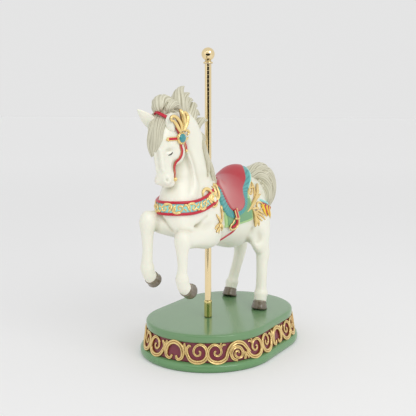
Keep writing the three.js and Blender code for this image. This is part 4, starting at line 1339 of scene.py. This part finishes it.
# The scrolls: along the band, height above its middle, half width.
spiralRow = [(-11.6, 3, 0.8), (-11, -3, 1.8), (-7, -8.8, 2.2), (0, -10.9, 2.4), (7, -8.6, 2.3),
             (10.2, -3, 2.1), (9.4, 3.2, 1.9), (5.2, 7.4, 1.7), (0.4, 7.4, 1.5), (-3.4, 4.2, 1.4),
             (-4.2, -0.6, 1.3), (-1.2, -3.8, 1.2), (2.4, -2.9, 1.2), (3.0, 0.2, 1.1), (1.2, 1.0, 0.9)]
archLeaves = [[(13.2, -4, 0.8), (12.6, 1, 1.7), (11.4, 5.6, 1.6), (11.6, 8.2, 0.9)],
              [(13.8, -2, 0.6), (14.6, 3, 1.5), (16.8, 6.2, 1.4), (18.6, 5, 0.8)],
              [(13.6, 0, 1.0), (15.6, -3.6, 1.5), (16.4, -7, 0.7)]]
scrollRows = {
    "arch": [[(-2.4, -5.6, 1.3), (-4.6, -9.4, 1.6), (-9.2, -7.6, 1.9), (-10.2, -1, 2.3), (-7.2, 5.4, 2.5),
              (0, 8.4, 2.6), (7.2, 5.4, 2.5), (10.2, -1, 2.3), (9.2, -7.6, 1.9), (4.6, -9.4, 1.6),
              (2.4, -5.6, 1.3)],
             *archLeaves, *[[(-x, z, w) for x, z, w in row] for row in archLeaves]],
    "spiral": [spiralRow],
    "crest": [[(-12.8, -9, 1.0), (-11.6, -2, 2.1), (-7, 5.4, 2.4), (0, 8.6, 2.5), (7, 6.8, 2.4),
               (11.6, 1.6, 2.1), (15.4, -4, 1.8)],
              [(-0.4, -10.4, 1.4), (-6, -7.4, 1.9), (-7.2, -1.4, 2.0), (-3.2, 3.4, 2.0), (2.8, 3, 1.9),
               (6, -1.6, 1.8), (4.8, -6.6, 1.6), (0.8, -7.8, 1.4), (-2.6, -5, 1.3), (-2.2, -1.4, 1.2),
               (0.8, -0.4, 1.1), (2.0, -3, 1.0)],
              [(8, -1.5, 0.8), (9.4, -6, 1.8), (8.2, -10.4, 1.2)],
              [(9, -2.5, 0.7), (12.6, -6.4, 1.7), (13.4, -10.2, 1.0)]],
    "bud": [[(-4.4, 4.6, 0.7), (-6.8, 7.4, 1.3), (-9.6, 7, 0.6)],
            [(-3.6, 5.2, 0.6), (-3.8, 8.2, 1.0), (-5.4, 10.2, 0.5)]],
}
order = [("arch", 0, 1), ("spiral", 26.4, 1), ("spiral", 47.4, -1), ("bud", 47.4, -1),
         ("crest", 69.8, 1), ("spiral", 94, 1), ("bud", 94, 1), ("spiral", 117.6, -1)]
repeats = 4
scrolls = Parcel()
for k in range(repeats):
    for kind, offset, turn in order:
        u = plinth["scrollStart"] + (k + offset / plinth["orderLength"]) * bandLength / repeats
        for row in scrollRows[kind]:
            row = np.asarray(row, dtype=float) * (turn, 1, 1) + (u, 0, 0)
            doubleRidge(scrolls, bandSpot, row, 1.15, 0.2)
scrolls.make("plinthScrolls", "gold", "plinth_paint", "plinth")
print("plinth built:", repeats * len(order), "scrolls")


# The pole and its fittings are turned: rows of radius, height and painted shade, which darkens the ferrule's
# and the finial's ends.
def turned(name, profile, paint, slotName, node, sides=48):
    angle = evenTurns(sides)
    verts, washes = [], []
    for radius, z, tone in profile:
        x, y = poleX + radius * np.cos(angle), radius * np.sin(angle)
        verts.append(np.stack([x, y, np.full(sides, z)], -1))
        washes += [tone] * sides
    makePiece(name, np.concatenate(verts), ringFaces(len(profile), sides), paint, washes, slotName, node)


rod = {"ribPitch": 4.6, "ribDepth": 0.045, "plainBelow": 190, "rows": 1400, "spigot": 3.0}
poleFoot, poleTop = poleLow.z / mm, poleHigh.z / mm
ferruleFoot, ferruleTop = ferruleLow.z / mm, ferruleHigh.z / mm


def rodRadius(z):  # fine rings are cut round it above the saddle
    ring = max(math.cos(2 * math.pi * z / rod["ribPitch"]), 0) ** 12
    return poleRadius - 0.05 - rod["ribDepth"] * (z > rod["plainBelow"]) * ring


turned("poleTube", [(rodRadius(z), z, 0.0) for z in np.linspace(ferruleTop + 0.3, poleTop, rod["rows"])],
       "brass", "brass", "pole", 40)
turned("poleSpigot", [(rod["spigot"] - 0.4, poleFoot + 0.2, 0), (rod["spigot"], poleFoot + 1, 0),
                      (rod["spigot"], ferruleTop + 2, 0)], "brass", "brass", "pole", 32)
r = (ferruleHigh.x - ferruleLow.x) / 2 / mm
turned("ferruleTube", [(3.2, ferruleFoot + 0.05, 1), (r - 0.2, ferruleFoot + 0.05, 1),
                       (r, ferruleFoot + 0.5, 0.6), (r, ferruleFoot + 1.6, 0),
                       (r, ferruleFoot + 2.0, 0), (r, ferruleTop - 1.3, 0), (r, ferruleTop - 0.8, 0),
                       (r - 0.5, ferruleTop, 0.2), (3.2, ferruleTop, 0.6)],
       "brassDark", "brass_dark", "ferrule")
ball = (finialHigh.x - finialLow.x) / 2 / mm
foot = finialLow.z / mm
middle = finialHigh.z / mm - ball
turned("finialBall", [(3.0, foot + 0.05, 0.4), (5.0, foot + 0.05, 0.4), (5.4, foot + 0.9, 0),
                      (5.1, foot + 1.9, 0.1), (3.6, foot + 2.6, 0.6), (3.4, foot + 3.2, 0.5),
                      *[(ball * math.cos(a), middle + ball * math.sin(a), 0)
                        for a in np.radians(np.linspace(-60, 89, 22))]], "brass", "brass", "finial")
print("pole and fittings built")

# Camera at the front left, a little above the horse's back.
camera = {
    "place": (736.2, 410.1, 276.4),
    "back": (0.8567, 0.4986, 0.1323),
    "lens": 62.39423,
    "filmWidth": 36,
}
cam = bpy.data.cameras.new("camera")
cam.lens = camera["lens"]
cam.sensor_width = camera["filmWidth"]
cam.clip_start = 0.05
camObj = bpy.data.objects.new("camera", cam)
bpy.context.scene.collection.objects.link(camObj)
camObj.location = Vector(camera["place"]) * mm
camObj.rotation_euler = Vector(camera["back"]).to_track_quat("Z", "Y").to_euler()
bpy.context.scene.camera = camObj
bpy.context.scene.view_settings.view_transform = "Standard"


# Lights, in metres: place, side, power. They all face the middle of the horse.
studio = {
    "lights": {"keyLight": ((0.7, 1.45, 1.25), 1.0, 10), "fillLight": ((1.6, -0.6, 0.8), 1.2, 1.2),
               "sparkLight": ((0.8, 0.1, 1.0), 0.14, 0.25)},
    "target": (0, 0, 0.17),
    "worldTone": 0.78,
    "floorTone": 0.72, "floorGlow": 0.16, "farGlow": 0.212, "floorReach": 30,
    "cardPlace": (0.465, 0.25, 0), "cardScale": (0.84, 1, 0.39), "cardTone": 0.01,
    "cardTurn": 120,
}
for name, (place, side, power) in studio["lights"].items():
    light = bpy.data.lights.new(name, "AREA")
    light.shape = "RECTANGLE"
    light.size = light.size_y = side
    light.energy = power
    lightObj = bpy.data.objects.new(name, light)
    bpy.context.scene.collection.objects.link(lightObj)
    lightObj.location = place
    lightObj.rotation_euler = (Vector(place) - Vector(studio["target"])).to_track_quat("Z", "Y").to_euler()

world = bpy.data.worlds.new("studio")
bpy.context.scene.world = world
world.use_nodes = True
sky = world.node_tree.nodes["Background"]
sky.inputs["Color"].default_value = (*[studio["worldTone"]] * 3, 1)
sky.inputs["Strength"].default_value = 1.0


def stagePiece(name, verts, mat):
    mesh = bpy.data.meshes.new(name)
    mesh.from_pydata(verts, [], [tuple(range(len(verts)))])
    mesh.materials.append(mat)
    obj = bpy.data.objects.new(name, mesh)
    bpy.context.scene.collection.objects.link(obj)
    obj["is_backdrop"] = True
    return obj


floorMat, shade = newMaterial("paleFloor")
away = shade.node("ShaderNodeVectorMath", {"operation": "LENGTH"},
                  {0: shade.node("ShaderNodeTexCoord", out=3)}, 1)
glow = away.ramp(0.3, 3.5).mix((studio["floorGlow"],) * 3, (studio["farGlow"],) * 3)
paleFloor = shade.node("ShaderNodeBsdfPrincipled", {},
                       {"Base Color": (studio["floorTone"],) * 3, "Roughness": 0.8,
                        "Specular IOR Level": 0.1, "Emission Color": glow, "Emission Strength": 1.0})
shade.node("ShaderNodeOutputMaterial", {}, {"Surface": paleFloor})
n = studio["floorReach"]
stagePiece("floor", [(-n, -n, 0), (n, -n, 0), (n, n, 0), (-n, n, 0)], floorMat)

# A dark card between the horse and the camera, which only reflections show.
cardMat, shade = newMaterial("flagCloth")
darkCloth = shade.node("ShaderNodeBsdfPrincipled", {},
                       {"Base Color": (studio["cardTone"],) * 3, "Roughness": 1.0})
shade.node("ShaderNodeOutputMaterial", {}, {"Surface": darkCloth})
flag = stagePiece("flag", [(-0.1, 0, 0), (0.1, 0, 0), (0.5, 0, 0.35), (0.5, 0, 1), (-0.5, 0, 1),
                           (-0.5, 0, 0.35)], cardMat)
flag.location = studio["cardPlace"]
flag.scale = studio["cardScale"]
flag.rotation_euler = (0, 0, math.radians(studio["cardTurn"]))
flag.visible_camera = flag.visible_diffuse = flag.visible_shadow = False


low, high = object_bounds()
